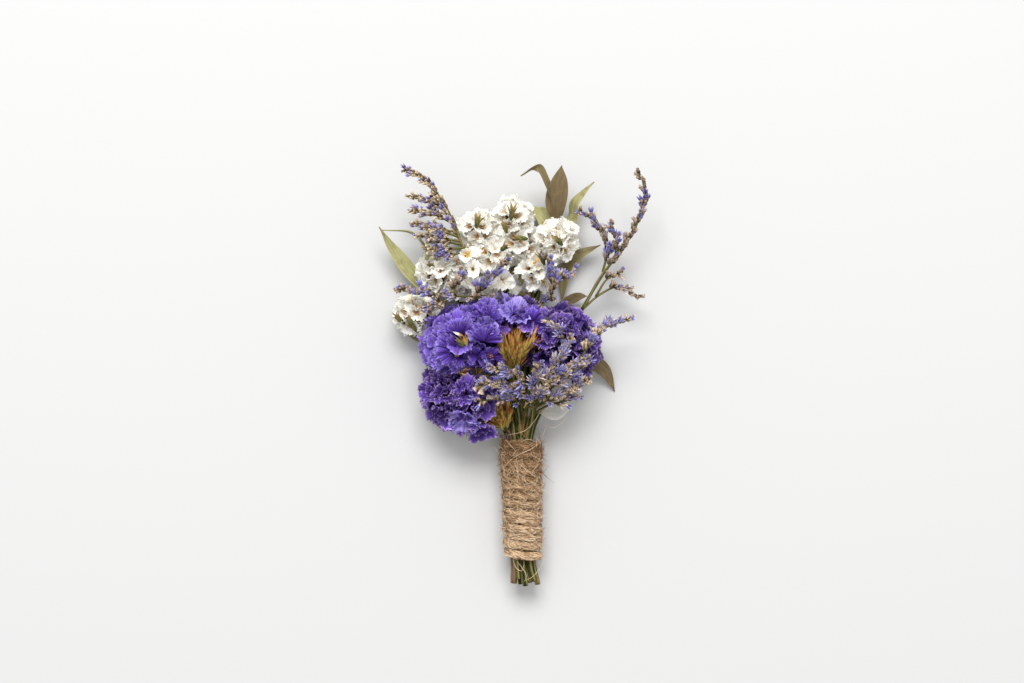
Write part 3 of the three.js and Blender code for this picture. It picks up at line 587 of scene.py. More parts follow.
def calyx_marks(root, d, kind, spin):
    """The rim points and the pit of a calyx as the solid has them."""
    angle = circle(kind["sides"])
    wave = np.sin(3 * angle + spin)[:, None]
    outward = around(*square_to(d), angle)
    rim = outward * kind["mouth"] * (1 + 0.1 * wave) + kind["length"] * (1 + 0.06 * wave) * d
    return root + np.vstack([rim, d * kind["length"] * (kind["flare"] + CALYX_WALL)])


def tilted(d):
    """The directions that the solid tries for a floret, from upright to its widest lean."""
    u, v = square_to(d)
    for tilt in TILTS:
        ways = TILT_WAYS if tilt else 1
        for turn in circle(ways):
            yield unit(d + math.tan(math.radians(tilt)) * around(u, v, turn))


def grown_florets(kind, clumps, solid_points):
    """The florets that the solid has, with each one's lean: [(root, direction, spin, clump)]."""
    found = []
    for k, (base, axis, spread, count) in enumerate(clumps):
        for i, d in enumerate(cap_directions(unit(axis), spread, count, k)):
            spin = chance(10 * k + i) * math.pi
            best = (1, None)
            for bent in tilted(d):
                root = base + bent * (kind["reach"] - kind["length"])
                score = touches(solid_points, calyx_marks(root, bent, kind, spin))
                if score > best[0]:
                    best = (score, (root, bent, spin, k))
            if best[1]:
                found.append(best[1])
    return found


def ripples(angle, seed, waves):
    """A sum of uneven waves round a rim: pairs of how many waves and how high."""
    made = 0
    for n, (count, height) in enumerate(waves):
        phase, lag = 6.28 * chance(seed + 0.37 * n), 6.28 * chance(seed - 0.53 * n)
        made = made + height * np.sin(count * angle + phase + 1.3 * np.sin(2 * angle + lag))
    return made


# The tube of a calyx below its flare: how far up each ring stands, its width, and its place on the ramp
TUBE_SIDES = 8
TUBE_RISE = (0, 0.2, 0.42)
TUBE_WIDTH = np.array([0.3, 0.5, 0.65, 0.9])
TUBE_SHADE = (0, 0.17, 0.34, 0.5)


def add_funnel(piece, root, d, kind, spin, seed, segments, rings, ruffle=1.0, size=1.0, narrow=1.0, skin=0,
               tone=None, fringe=0.06, fine=1.0, notch=0.6):
    """A papery calyx: a thin tube, then a pleated and crumpled funnel with a torn, ruffled rim."""
    u, v = square_to(d)
    tone = chance(seed * 3.7) if tone is None else tone
    length, mouth, throat = (kind[key] * size for key in ("length", "mouth", "throat"))
    flare = kind["flare"]
    scale = mouth / PURPLE["mouth"]
    angle = circle(TUBE_SIDES)
    rise = np.array([*TUBE_RISE, flare])[:, None, None] * length
    r = throat * (TUBE_WIDTH[:, None] + 0.08 * np.cos(5 * angle))[..., None]
    made = root + around(u, v, angle) * r + rise * d
    piece.add(made, quads(len(TUBE_WIDTH), TUBE_SIDES), skin, np.repeat(TUBE_SHADE, TUBE_SIDES), tone)
    t = np.linspace(0, 1, rings)[:, None]
    angle = circle(segments)
    warp = angle + 0.1 * t * ripples(angle, seed, [(4, 1), (9, 0.6)])
    wave = np.sin(3 * angle + spin)
    lobes = 0.5 + 0.5 * np.cos(5 * angle + seed)
    slits = notch * np.abs(np.sin(13 * angle + np.sin(3 * angle))) ** 5
    torn = ripples(angle, seed + 5, [(31, 0.6), (43, 0.5)]) - slits
    reach = 1.08 + 0.1 * wave - 0.04 * (1 - lobes) ** 4 + fringe * torn
    r = throat * 0.9 + (mouth * reach - throat * 0.9) * t**1.15
    squash = 1 - (1 - narrow) * np.cos(angle + seed) ** 2
    rise = length * (flare + (1 - flare) * t**0.85 + 0.06 * wave * t**2)
    broad = ripples(angle, seed + 1, [(4, 0.3), (7, 0.26)]) * t**1.4 * ruffle
    pleats = ripples(angle, seed + 2, [(int(14 * fine), 0.26), (int(21 * fine), 0.22)]) * t**1.2 * ruffle
    creases = ripples(angle, seed + 3, [(27, 0.17), (38, 0.13)]) * t**0.7
    fold = scale * (broad + pleats + creases)
    made = around(u, v, warp) * (r * squash - 0.6 * fold)[..., None]
    made = root + made + (rise + 0.8 * fold)[..., None] * d
    crumple = np.sin(made[..., [1, 2, 0]] * 1.1 + seed) + 0.6 * np.sin(made[..., [2, 0, 1]] * 2.3 + 2 * seed)
    made = made + 0.28 * ruffle * scale * t[..., None] * crumple
    grain = stacked(7 * np.cos(angle), 7 * np.sin(angle), 0.8 * t + STREAKS_APART * tone)
    vein = np.clip(np.cos(5 * angle + 2 * seed), 0, 1) ** 6
    # Painted shade: along rises from 0.5 at the throat to 1 at the rim, and the ramp is darker towards the
    # throat. The pleats darken it in their grooves. The dark vein lines near the foot are the calyx's own
    # colour.
    deep = 0.5 + 0.5 * t - 0.1 * np.clip(fold, -1, 1) * (1 - t) - 0.4 * vein * (1 - t) ** 1.5
    piece.add(made, quads(rings, segments), skin, np.clip(deep, 0.4, 1), tone, grain)


def add_scales(piece, root, d, count, length, width, skin, seed, spread=24, bend=0.15):
    """Small bracts round a foot, which lean apart by the given angle."""
    for i, lean in enumerate(cap_directions(d, spread, count, seed)):
        outward = unit(lean - d * np.dot(lean, d) + 1e-4)
        size = 0.75 + 0.5 * chance(seed + 1.7 * i)
        add_blade(piece, root, lean, -outward, length * size, width, skin, chance(seed + i), 0.6, -bend,
                  columns=4)


def add_heart(piece, root, d, seed):
    """The dried corolla in a white calyx: a few narrow petals, brown or now and then yellow."""
    foot = root + d * WHITE["length"] * (WHITE["flare"] + 0.04)
    tone = 0.5 * chance(seed) + (0.5 if chance(seed * 1.9) > 0.68 else 0)
    for i, lean in enumerate(cap_directions(d, 62, 8, seed)):
        outward = unit(lean - d * np.dot(lean, d) * 0.98)
        add_blade(piece, foot, lean, outward, 1.1 + 1.4 * chance(seed + i), 0.34, 1, tone, 0.6,
                  0.1 + 0.3 * chance(seed - i), rows=4, columns=3)


FAN_ROWS = 8
FAN_COLUMNS = 46


def add_fan(piece, apex, azimuth, spread, length, count, tone, seed):
    """Papery pleated sheets that leave one point and overlap. The upper ones are shorter and steeper, so that
    each shows its torn, feathery rim."""
    x = np.linspace(-1, 1, FAN_COLUMNS)[None]
    t = np.linspace(0.06, 1, FAN_ROWS)[:, None]
    for i in range(count):
        layer, own = i / (count - 1), seed + 2.7 * i
        turn = azimuth + spread * (2 * chance(own) - 1)
        half = 16 + 18 * chance(own + 0.3)
        angle = np.radians(turn + half * x + 5 * t * ripples(3 * x, own, [(2, 1), (5, 0.5)]))
        reach = length * (1 - 0.5 * layer**0.8) * (0.84 + 0.3 * chance(own + 0.6))
        torn = ripples(3 * x, own + 1, [(9, 0.5), (13, 0.5), (21, 0.4)])
        r = reach * t * (1 - 0.2 * np.abs(x) ** 3 + 0.08 * torn * t)
        fold = ripples(3 * x, own + 2, [(3, 0.5), (5, 0.4)]) * t**1.3
        fold = (fold + ripples(3 * x, own + 3, [(9, 0.22), (13, 0.2)]) * t) * (0.2 + 0.032 * length)
        rise = r * (0.95 * layer - 0.34) + fold - (0.16 - 0.1 * layer) * reach * t**2.5
        made = apex + np.stack([np.cos(angle) * r, np.sin(angle) * r, rise], -1)
        # Painted shade: the folds darken each sheet in their grooves, more towards the apex than at the rim.
        deep = np.clip(0.47 + 0.46 * t + 0.07 * t**8 - 0.05 * fold * (1 - t), 0, 1)
        shade = min(1, tone + 0.6 * chance(own + 0.9) ** 3)
        piece.add(made, quads(FAN_ROWS, FAN_COLUMNS, False), 0, deep, shade, stacked(5 * x, 0.5 * t, own * 3))


# Feathery fans of the main head: apex, azimuth and half spread in degrees, length, count and tone
FANS = [
    ((-18.4, 42.4, 19.2), 172, 58, 9.8, 20, 0.2),
    ((-17.4, 46.4, 19.2), 112, 60, 8.2, 18, 0.25),
    ((-10.6, 44.8, 20.2), 84, 62, 8, 18, 0.15),
    ((-9.4, 50.6, 18.8), 92, 80, 6.6, 16, 0.1),
    ((-17.2, 41.4, 18.2), 232, 50, 6.6, 12, 0.1),
    ((-12.8, 41, 18.4), 0, 180, 4.6, 12, 0),
    ((-8.6, 40.8, 18.8), 0, 180, 4.4, 12, 0),
    ((2.8, 50.6, 18), 0, 180, 5.6, 18, 0.05),
]


# Further calyces of a bloom: how deep they sit, how much wider they spread, and how many more are tried
FILLER_REACH = 0.88
FILLER_SPREAD = 12
FILLER_TRIES = 3


def fillers(kind, clumps, florets):
    """Places between the florets of a bloom: further calyces that the solid leaves out, set a little deeper.
    The bract cluster in front of the main head and a gap between the white heads stay bare."""
    reach = kind["reach"] * FILLER_REACH
    middle, half, low, high = kind["bare"]
    mouths = [root + d * kind["length"] for root, d, spin, k in florets]
    found = []
    for k, (base, axis, spread, count) in enumerate(clumps):
        tried = cap_directions(unit(axis), spread + FILLER_SPREAD, FILLER_TRIES * count, k + 0.4)
        for i, d in enumerate(tried):
            mouth = base + d * reach
            bare = abs(mouth[0] - middle) < half and low < mouth[1] < high
            if mouth[2] > 1 and not bare and np.linalg.norm(mouths - mouth, axis=1).min() > kind["gap"]:
                mouths.append(mouth)
                found.append((base + d * (reach - kind["length"] * 0.9), d, i * 0.7, k))
    return found


# Further calyces, given as base and axis. They hide the stalk of a spray and the inside of a head.
SET_BY_HAND = {
    "white_mid_left": [
        ((-13.6, 61.5, 8), (0.2, -0.2, 1)),
        ((-14.2, 65, 9), (0.1, 0.1, 1)),
        ((-15.4, 68.6, 9), (0, 0.2, 1)),
        ((-11.6, 58.6, 7), (0.1, -0.2, 1)),
    ],
    "white_left": [
        ((-19.6, 60.6, 5), (0.2, -0.3, 1)),
        ((-19.8, 66.6, 5), (0.3, 0.2, 1)),
    ],
    "purple_main": [
        ((-5, 46, 6), (-0.3, -0.6, 0.7)),
        ((-1, 46, 5.6), (0.1, -0.7, 0.6)),
        ((3, 45, 5.6), (0.3, -0.7, 0.6)),
        ((-8, 45, 6.6), (-0.2, -0.7, 0.7)),
        ((1, 48, 6), (0, -0.4, 0.9)),
        ((-4, 48, 6), (-0.1, -0.4, 0.9)),
    ],
}
# Where a purple calyx is pale and smooth, with dark veins, and how near its mouth has to be
PALE_CALYCES = [(-2.6, 53.5), (-15, 22.5), (-24, 43)]
PALE_WITHIN = 2.6
# Left of this the calyces of the main head are smooth
SMOOTH_BEFORE = -4
# Tufts of bracts that show between the florets: bloom, base, axis, spread, count, length and material
TUFTS = [
    ("purple_main", (-15.2, 43, 19.2), (-0.3, 0.85, 0.45), 18, 10, 5.4, 1),
    ("purple_main", (-16.2, 43, 19.6), (-0.45, 0.8, 0.4), 24, 6, 4.4, 4),
    ("purple_main", (-16.6, 46.6, 20.8), (-0.95, 0.25, 0.25), 20, 2, 3, 3),
    ("purple_main", (-18.8, 40.6, 19), (0.3, 0.5, 0.8), 24, 7, 2.4, 1),
    ("purple_main", (-9.6, 40.4, 17.8), (0.2, 0.3, 0.8), 24, 7, 2.4, 1),
    ("purple_main", (-18.5, 36, 15.4), (0.8, 0.2, 0.5), 40, 10, 5.5, 1),
    ("purple_main", (-11, 38.5, 14), (0.2, 0.6, 0.7), 35, 6, 5, 1),
    ("purple_main", (2.4, 42.6, 16.4), (0.35, 0.8, 0.4), 24, 10, 6, 1),
    ("purple_right", (14.5, 40.5, 12), (0.5, 0.2, 0.8), 36, 8, 5.5, 1),
    ("purple_left", (-11, 23.5, 7.5), (0.6, -0.5, 0.7), 50, 10, 5.5, 4),
    ("purple_left", (-5, 22, 9.4), (-0.6, 0.72, 0.3), 20, 18, 7.6, 4),
    ("purple_left", (-5.4, 19.6, 8.6), (-0.3, 0.8, 0.5), 26, 8, 5, 1),
    ("purple_left", (-15.6, 21, 5.5), (-0.3, -0.9, 0.1), 60, 10, 4.4, 4),
    ("purple_left", (-13, 35, 12), (0.4, 0.3, 0.8), 40, 7, 4.5, 1),
    ("white_low_left", (-33.2, 49.8, 9), (-0.66, 0.62, 0.4), 12, 7, 4.4, 2),
    ("white_low_left", (-30.8, 48.8, 9.5), (-0.4, 0.78, 0.35), 14, 6, 4.4, 2),
    ("white_mid_left", (-16.5, 69, 10.5), (0.3, 0.8, 0.4), 22, 4, 4, 2),
    ("white_top_left", (-13, 77, 10.6), (0.2, 0.8, 0.4), 24, 4, 4.4, 2),
    ("white_top", (-3.2, 79, 12.4), (0.1, 0.85, 0.35), 18, 5, 5.4, 2),
    ("white_top", (-4.4, 75.4, 12), (-0.2, 0.8, 0.4), 18, 4, 4.2, 2),
    ("white_top", (1.6, 73.8, 12), (-0.95, 0.1, 0.3), 14, 5, 4.8, 2),
    ("white_centre", (-6, 70.5, 12), (0.5, 0.5, 0.5), 22, 4, 3.6, 2),
    ("white_right", (6.4, 66.4, 12.6), (-0.35, 0.85, 0.35), 14, 5, 5.6, 2),
    ("white_right", (11.4, 72, 11.6), (-0.5, 0.6, 0.4), 24, 4, 4, 2),
    ("white_left", (-25, 65, 10.4), (-0.3, 0.7, 0.4), 24, 4, 4, 2),
    ("white_low_left", (-29.2, 47.6, 8.8), (-0.7, 0.6, 0.3), 12, 6, 4.2, 2),
]
# How wide the bracts of a tuft are, by the number of their material
TUFT_WIDTHS = (1.0, 0.7, 1.5, 1.0, 0.75)


def add_purple_calyx(piece, root, d, spin, seed, own, main):
    """A calyx of a purple head: pale in a few places, smooth in the left of the main head, else ruffled."""
    mouth = root + d * PURPLE["length"]
    smooth = main and mouth[0] < SMOOTH_BEFORE
    pale = min(np.linalg.norm(mouth[:2] - place) for place in PALE_CALYCES) < PALE_WITHIN
    narrow = 0.5 + 0.35 * chance(seed * 2.9)
    size = 1.0 if own else 0.88
    tone = 0.45 * chance(seed * 3.7) + (0.15 if smooth else 0.0) + (0.3 if chance(seed * 5.1) > 0.92 else 0)
    if pale:
        add_funnel(piece, root, d, PURPLE, spin, seed, 110, 9, 0.6, 1.0, 0.85, 0, 1.0)
    elif smooth:
        add_funnel(piece, root, d, PURPLE, spin, seed, 72, 5, 0.8, size, narrow, 0, tone)
    else:
        inner = size * 0.78
        add_funnel(piece, root, d, PURPLE, spin, seed, 96 if own else 80, 7, 1.2, size, narrow, 2, tone,
                   fringe=0.08, fine=1.3, notch=1.2)
        add_funnel(piece, root + d * 1.2, d, PURPLE, spin, seed + 3, 64, 5, 1.2, inner, 0.5, 2, tone,
                   fringe=0.1, fine=1.2)
        if own:
            add_funnel(piece, root + d * 2.6, d, PURPLE, spin, seed + 6, 48, 5, 1.2, 0.56, 0.6, 2, tone, 0.1)
    add_scales(piece, root + d * 1.2, d, 3, 5.2, 1.4, 1, seed)


def add_white_calyx(piece, root, d, spin, seed, own):
    crumpled, narrow = 0.55 + 0.75 * chance(seed * 4.3), 0.5 + 0.45 * chance(seed * 2.3)
    size = (1.0 if own else 0.9) * (0.9 + 0.15 * chance(seed * 6.1))
    add_funnel(piece, root, d, WHITE, spin, seed, 72 if own else 56, 7, crumpled, size, narrow,
               fringe=0.09, notch=1.2)
    if chance(seed * 1.3) > 0.25:
        add_heart(piece, root, d, seed)
    add_scales(piece, root, d, 3, 3.4, 1.0, 2, seed)


def build_bloom(name):
    kind, core, clumps = BLOOMS[name]
    colour, place = name.split("_", 1)
    purple = kind is PURPLE
    solid = f"{colour}_statice_bloom_{place}"
    piece = Piece(f"{colour}_head_{place}")
    florets = grown_florets(kind, clumps, node_points(solid))
    extra = fillers(kind, clumps, florets)
    extra += [(base, unit(axis), 0.0, 9) for base, axis in SET_BY_HAND.get(name, [])]
    curve = Curve(core)
    middle = curve.at(np.linspace(0, 1, max(3, int(curve.length()))))
    add_tube(piece, middle, kind["core"] * 0.75, 10, 1 if purple else 2, 0.4, 3, 0.1)
    for n, (root, d, spin, k) in enumerate(florets + extra):
        seed = 100 * len(name) + 7.3 * n + k
        if purple:
            add_purple_calyx(piece, root, d, spin, seed, n < len(florets), place == "main")
        else:
            add_white_calyx(piece, root, d, spin, seed, n < len(florets))
    for n, (bloom, base, axis, spread, count, length, skin) in enumerate(TUFTS):
        if bloom == name:
            add_scales(piece, base, unit(axis), count, length, TUFT_WIDTHS[skin], skin, n, spread, 0.1)
    if name == "purple_main":
        for n, fan in enumerate(FANS):
            add_fan(piece, *fan, 11.7 * n)
    if purple:
        materials = [PURPLE_PETAL, BRACT, PURPLE_RUFFLE, WHITE_PETAL, GREEN_BRACT]
    else:
        materials = [WHITE_PETAL, DRY_HEART, GREEN_BRACT]
    piece.finish(solid, materials)


# Stems of the heads: their points above the binding, their branches with the radius of each, and their
# bract clusters as base, axis, spread, count and stretch
STEM_NODES = {
    "purple_main": ([(-0.8, 25, 10.4), (-1.6, 31, 12.6), (-2, 36, 14.6)], [
        ([(-1.6, 31, 12.6), (-2, 37, 11), (-2, 43, 9.4), (-2, 47, 9.4)], STEM_RADIUS),
    ], [
        ((-2.2, 35, 14), (-0.02, 0.88, 0.42), 25, 26, 1.4),
    ]),
    "purple_left": ([(-5, 20.5, 6.6), (-8.5, 24, 7), (-11.5, 26.6, 7.4)], [], [
        ((-5, 20.4, 6.6), (-0.7, 0.62, 0.5), 36, 12, 1.15),
        ((-4.7, 19, 6.8), (-0.1, 0.86, 0.42), 26, 9, 1.1),
    ]),
    "purple_right": ([(5.4, 26, 6.8), (9, 35, 8), (11.2, 40, 8.4)], [], [
        ((8.6, 34, 8), (0.5, 0.75, 0.5), 20, 3, 1.0),
    ]),
    "white_left": ([(-3.8, 30, 4.2), (-6.4, 42, 4.4), (-14, 51, 4.4), (-19, 57.5, 4.2), (-23.4, 64, 4.2)], [
        ([(-14, 51, 4.4), (-21, 52.4, 4), (-29, 52.2, 4.2)], 0.6),
        ([(-17.4, 55.4, 4.1), (-16.6, 59, 4.2), (-16, 62.5, 4.4)], 0.6),
    ], []),
    "white_middle": ([(-1.8, 30, 5.3), (-2.8, 45, 5.2), (-4.8, 56, 4.8), (-6.9, 61.8, 4.6)], [
        ([(-5.6, 58.4, 4.7), (-10.6, 64, 3.2), (-12.2, 69, 3.2), (-11.6, 74.8, 4.2)], 0.6),
        ([(-4.8, 56, 4.8), (-3, 64, 4), (-0.8, 72.4, 4.6)], 0.6),
    ], []),
    "white_right": ([(1.2, 30, 4.8), (2.4, 46, 4.8), (3.2, 56, 4.8), (3.4, 64, 4.6)], [
        ([(3.2, 56, 4.8), (7, 64, 4.6), (9.2, 72.4, 4.8)], 0.6),
    ], []),
}
CURLED_STALK = [(3, 30.4, 15), (1.4, 28.6, 15.6), (0.9, 27, 15.4), (0.4, 26.2, 14.4)]
SIDE_STALKS = 16
SCALES_PER_TUFT = 20


def add_bracts(piece, base, axis, spread, count, stretch):
    """A cluster of slender tufts, each of which is a stalk with narrow scales that overlap."""
    for i, d in enumerate(cap_directions(unit(axis), spread, count, 0.5)):
        length = BRACT_LENGTH * (0.8 + 0.3 * chance(i + 40)) * stretch
        add_branch(piece, [base, base + d * length * 0.45, base + d * length * 0.7], 0.35, 0.2, 0, chance(i))
        u, v = square_to(d)
        for n in range(SCALES_PER_TUFT):
            outward = around(u, v, n * GOLDEN_ANGLE + i)
            start = base + d * length * (0.14 + 0.028 * n) + outward * 0.3
            lean = unit(d + (0.12 + 0.2 * chance(n * 1.9 + i)) * outward)
            size = length * (0.24 + 0.18 * chance(n + i))
            width = 0.45 + 0.6 * chance(n - 2 * i) ** 2
            tone = min(1, chance(3 * i + n) ** 1.5 + max(0, d[0]))
            bend = 0.3 * chance(5 * i + n) - 0.1
            add_blade(piece, start, lean, -outward, size, width, 2, tone, 0.7, bend, columns=4, fullness=0.8)


def add_side_stalks(piece):
    """Thin stalks that leave the binding between the stems and fan out below the blooms."""
    for i in range(SIDE_STALKS):
        side = 2 * chance(i + 0.5) - 1
        start = bound_point(OUTER_RING * (0.35 + 0.6 * chance(i)), 180 * chance(2 * i + 1), STEM_TOP - 2)
        end = (1.5 + 9 * side, 33 + 9 * chance(3 * i), 8 + 4 * chance(i + 7))
        middle = (0.7 * start[0] + 0.35 * end[0], 0.5 * (start[1] + end[1]), 0.4 * start[2] + 0.6 * end[2])
        add_branch(piece, [start, middle, end], 0.3 + 0.2 * chance(i + 3), 0.25, 0, chance(i + 9), 8, 0.35)


def build_stems():
    for name, (points, branches, bracts) in STEM_NODES.items():
        colour, place = name.split("_")
        piece = Piece(f"{colour}_stem_{place}")
        add_stem(piece, name, points, kind=3 if name == BROWN_STEM else 0)
        for branch, radius in branches:
            add_branch(piece, branch, radius, tone=chance(branch[0][0]), sides=12)
        if name == "purple_main":
            add_side_stalks(piece)
            add_branch(piece, CURLED_STALK, 0.42, 0.15, 2, 0.3)
        for cluster in bracts:
            add_bracts(piece, *cluster)
        piece.finish(f"{colour}_statice_stem_{place}", [STEM, CUT_FACE, BRACT, TWIG])


# Leaves
LEAF_ROWS = 30
LEAF_COLUMNS = 12
MIDRIB = 0.3


def add_leaf(piece, midrib, width, face, brown):
    """A folded blade with a raised midrib, as a closed skin with a top and an underside."""
    curve = Curve(midrib)
    t = np.linspace(0, 1, LEAF_ROWS)
    tangents = curve.tangent(t)
    side = unit(np.cross(tangents, face))
    up = np.cross(side, tangents)[:, None]
    swell = np.sin(math.pi * t ** (math.log(0.5) / math.log(LEAF["widest_at"])))
    half = np.maximum(width / 2 * swell, LEAF["narrowest"] * np.where(t > 0.5, 0.35, 0.8))[:, None]
    x = np.linspace(-1, 1, LEAF_COLUMNS)
    lift = half * math.tan(math.radians(LEAF["fold"])) * (np.sqrt(x**2 + 0.04) - 0.2)
    lift = lift + 0.12 * np.sin(t * 19 + brown * 9)[:, None] * x**2
    skin = 0.16 * (1 - x**4) + 0.1 * np.exp(-((x * half / MIDRIB) ** 2))
    middle = curve.at(t)[:, None] + side[:, None] * (half * x)[..., None]
    tops = middle + up * (lift + 0.4 * skin)[..., None]
    under = middle + up * (lift - skin)[..., None]
    ring = np.concatenate([tops, under[:, ::-1]], axis=1)
    out = np.concatenate([x, x[::-1]]) * half
    grain = stacked(out * 1.6, 0.5 * np.abs(out) - t[:, None] * 5, brown * STREAKS_APART)
    vein = np.clip(1 - np.abs(out) / MIDRIB, 0, 1)
    along = np.clip(0.35 + 0.5 * np.abs(out) / width - 0.35 * vein, 0, 1)
    piece.add(ring, quads(LEAF_ROWS, 2 * LEAF_COLUMNS), 0, along, brown, grain)


# Midrib, width, the direction that the face looks in, and how brown the leaf is
LEFT_LEAVES = [
    ([(-25.5, 58, 1.6), (-30.5, 62.8, 3), (-36, 69.6, 5), (-40.6, 77.4, 7.5)], 5.2, (0.5, 0.3, 0.8), 0.16),
    ([(-26.6, 59.6, 1.8), (-28.2, 64.6, 5), (-27.2, 70.4, 9), (-31.4, 75.6, 9.5), (-40, 76.6, 8.5)],
     3, (0.8, 0.6, 0.2), 0.6),
    ([(-26, 49.4, 1.4), (-29, 46.6, 1.6), (-33.5, 50.5, 1.6), (-37, 54.4, 2)], 4, UP, 0.5),
]
RIGHT_LEAVES = [
    ([(10.2, 78.6, 3.2), (9.6, 84, 6.4), (10.6, 90, 8.4), (11.2, 94.8, 8.6)], 6.2, (-0.1, -0.2, 0.95), 1.0),
    ([(9.6, 80.5, 3.6), (7.6, 88, 8), (4.4, 94, 11.4), (-0.4, 91.6, 12.4)], 3, (0.9, -0.4, 0.3), 0.9),
    ([(9.6, 76, 2), (14.6, 79.6, 3.6), (15.6, 84.6, 6.4), (20.4, 90.2, 8)], 4.6, (-0.6, 0.3, 0.7), 0.3),
    ([(7.4, 68.6, 1.6), (8.4, 76, 2.2), (6.2, 80.6, 3.4), (1.2, 83.4, 4)], 6.4, (0.1, 0.1, 1), 0.05),
    ([(5, 58, 1.7), (-0.6, 60.4, 1.5), (-0.9, 66, 1.6), (-0.4, 70.6, 1.6)], 4, UP, 0.6),
    ([(11.5, 57, 1.5), (12.6, 64.6, 2.4), (16.6, 69.6, 3.6), (22.4, 72.4, 4.4)], 4, (-0.3, 0.3, 0.9), 0.85),
    ([(11, 54.6, 1.5), (13.4, 56.6, 2.2), (16.4, 57.8, 3), (18.6, 57.8, 3.6)], 2.8, UP, 0.95),
    ([(13, 38, 1.2), (18.5, 39.4, 2.4), (23.6, 36.4, 2.6), (26.6, 30.6, 0.25)], 4.6, (0.1, 0.2, 1), 1.0),
]
SIDE_TWIG_RADIUS = 0.45
# The stem of each twig, the radius of its end, its side branches and its leaves
TWIGS = {
    "left": ([(-2, 28, 2.2), (-6.8, 42, 1.8), (-19, 52, 1.6), (-26, 58.5, 1.6)], 0.5, [
        [(-19, 52, 1.6), (-22.5, 52, 1.4), (-27, 49, 1.4)],
    ], LEFT_LEAVES),
    "right": ([(1.6, 30, 2), (3.4, 50, 1.8), (6, 64, 1.6), (9.2, 74, 1.6), (10.4, 79.5, 3.4)], 0.45, [
        [(3, 46, 1.8), (9, 52, 1.4), (12.6, 57.6, 1.6)],
        [(1.9, 33, 2), (8, 36.6, 1.2), (14, 38, 1.2)],
    ], RIGHT_LEAVES),
}


def build_twigs():
    for side, (stem, end_radius, branches, leaves) in TWIGS.items():
        piece = Piece(f"leafy_twig_{side}")
        add_stem(piece, f"{side}_twig", stem, end_radius, kind=1, rib=0.1)
        for branch in branches:
            add_branch(piece, branch, SIDE_TWIG_RADIUS, kind=1)
        for leaf in leaves:
            add_leaf(piece, *leaf)
        piece.finish(f"leaf_twig_{side}", [LEAF_SKIN, TWIG])


# Sprays: the stem, its extra branches, and spikes as points, side, where the florets start, and thickness
def spike(points, side=UP, start=0.15, thick=SPIKE_RADIUS):
    return points, side, start, thick


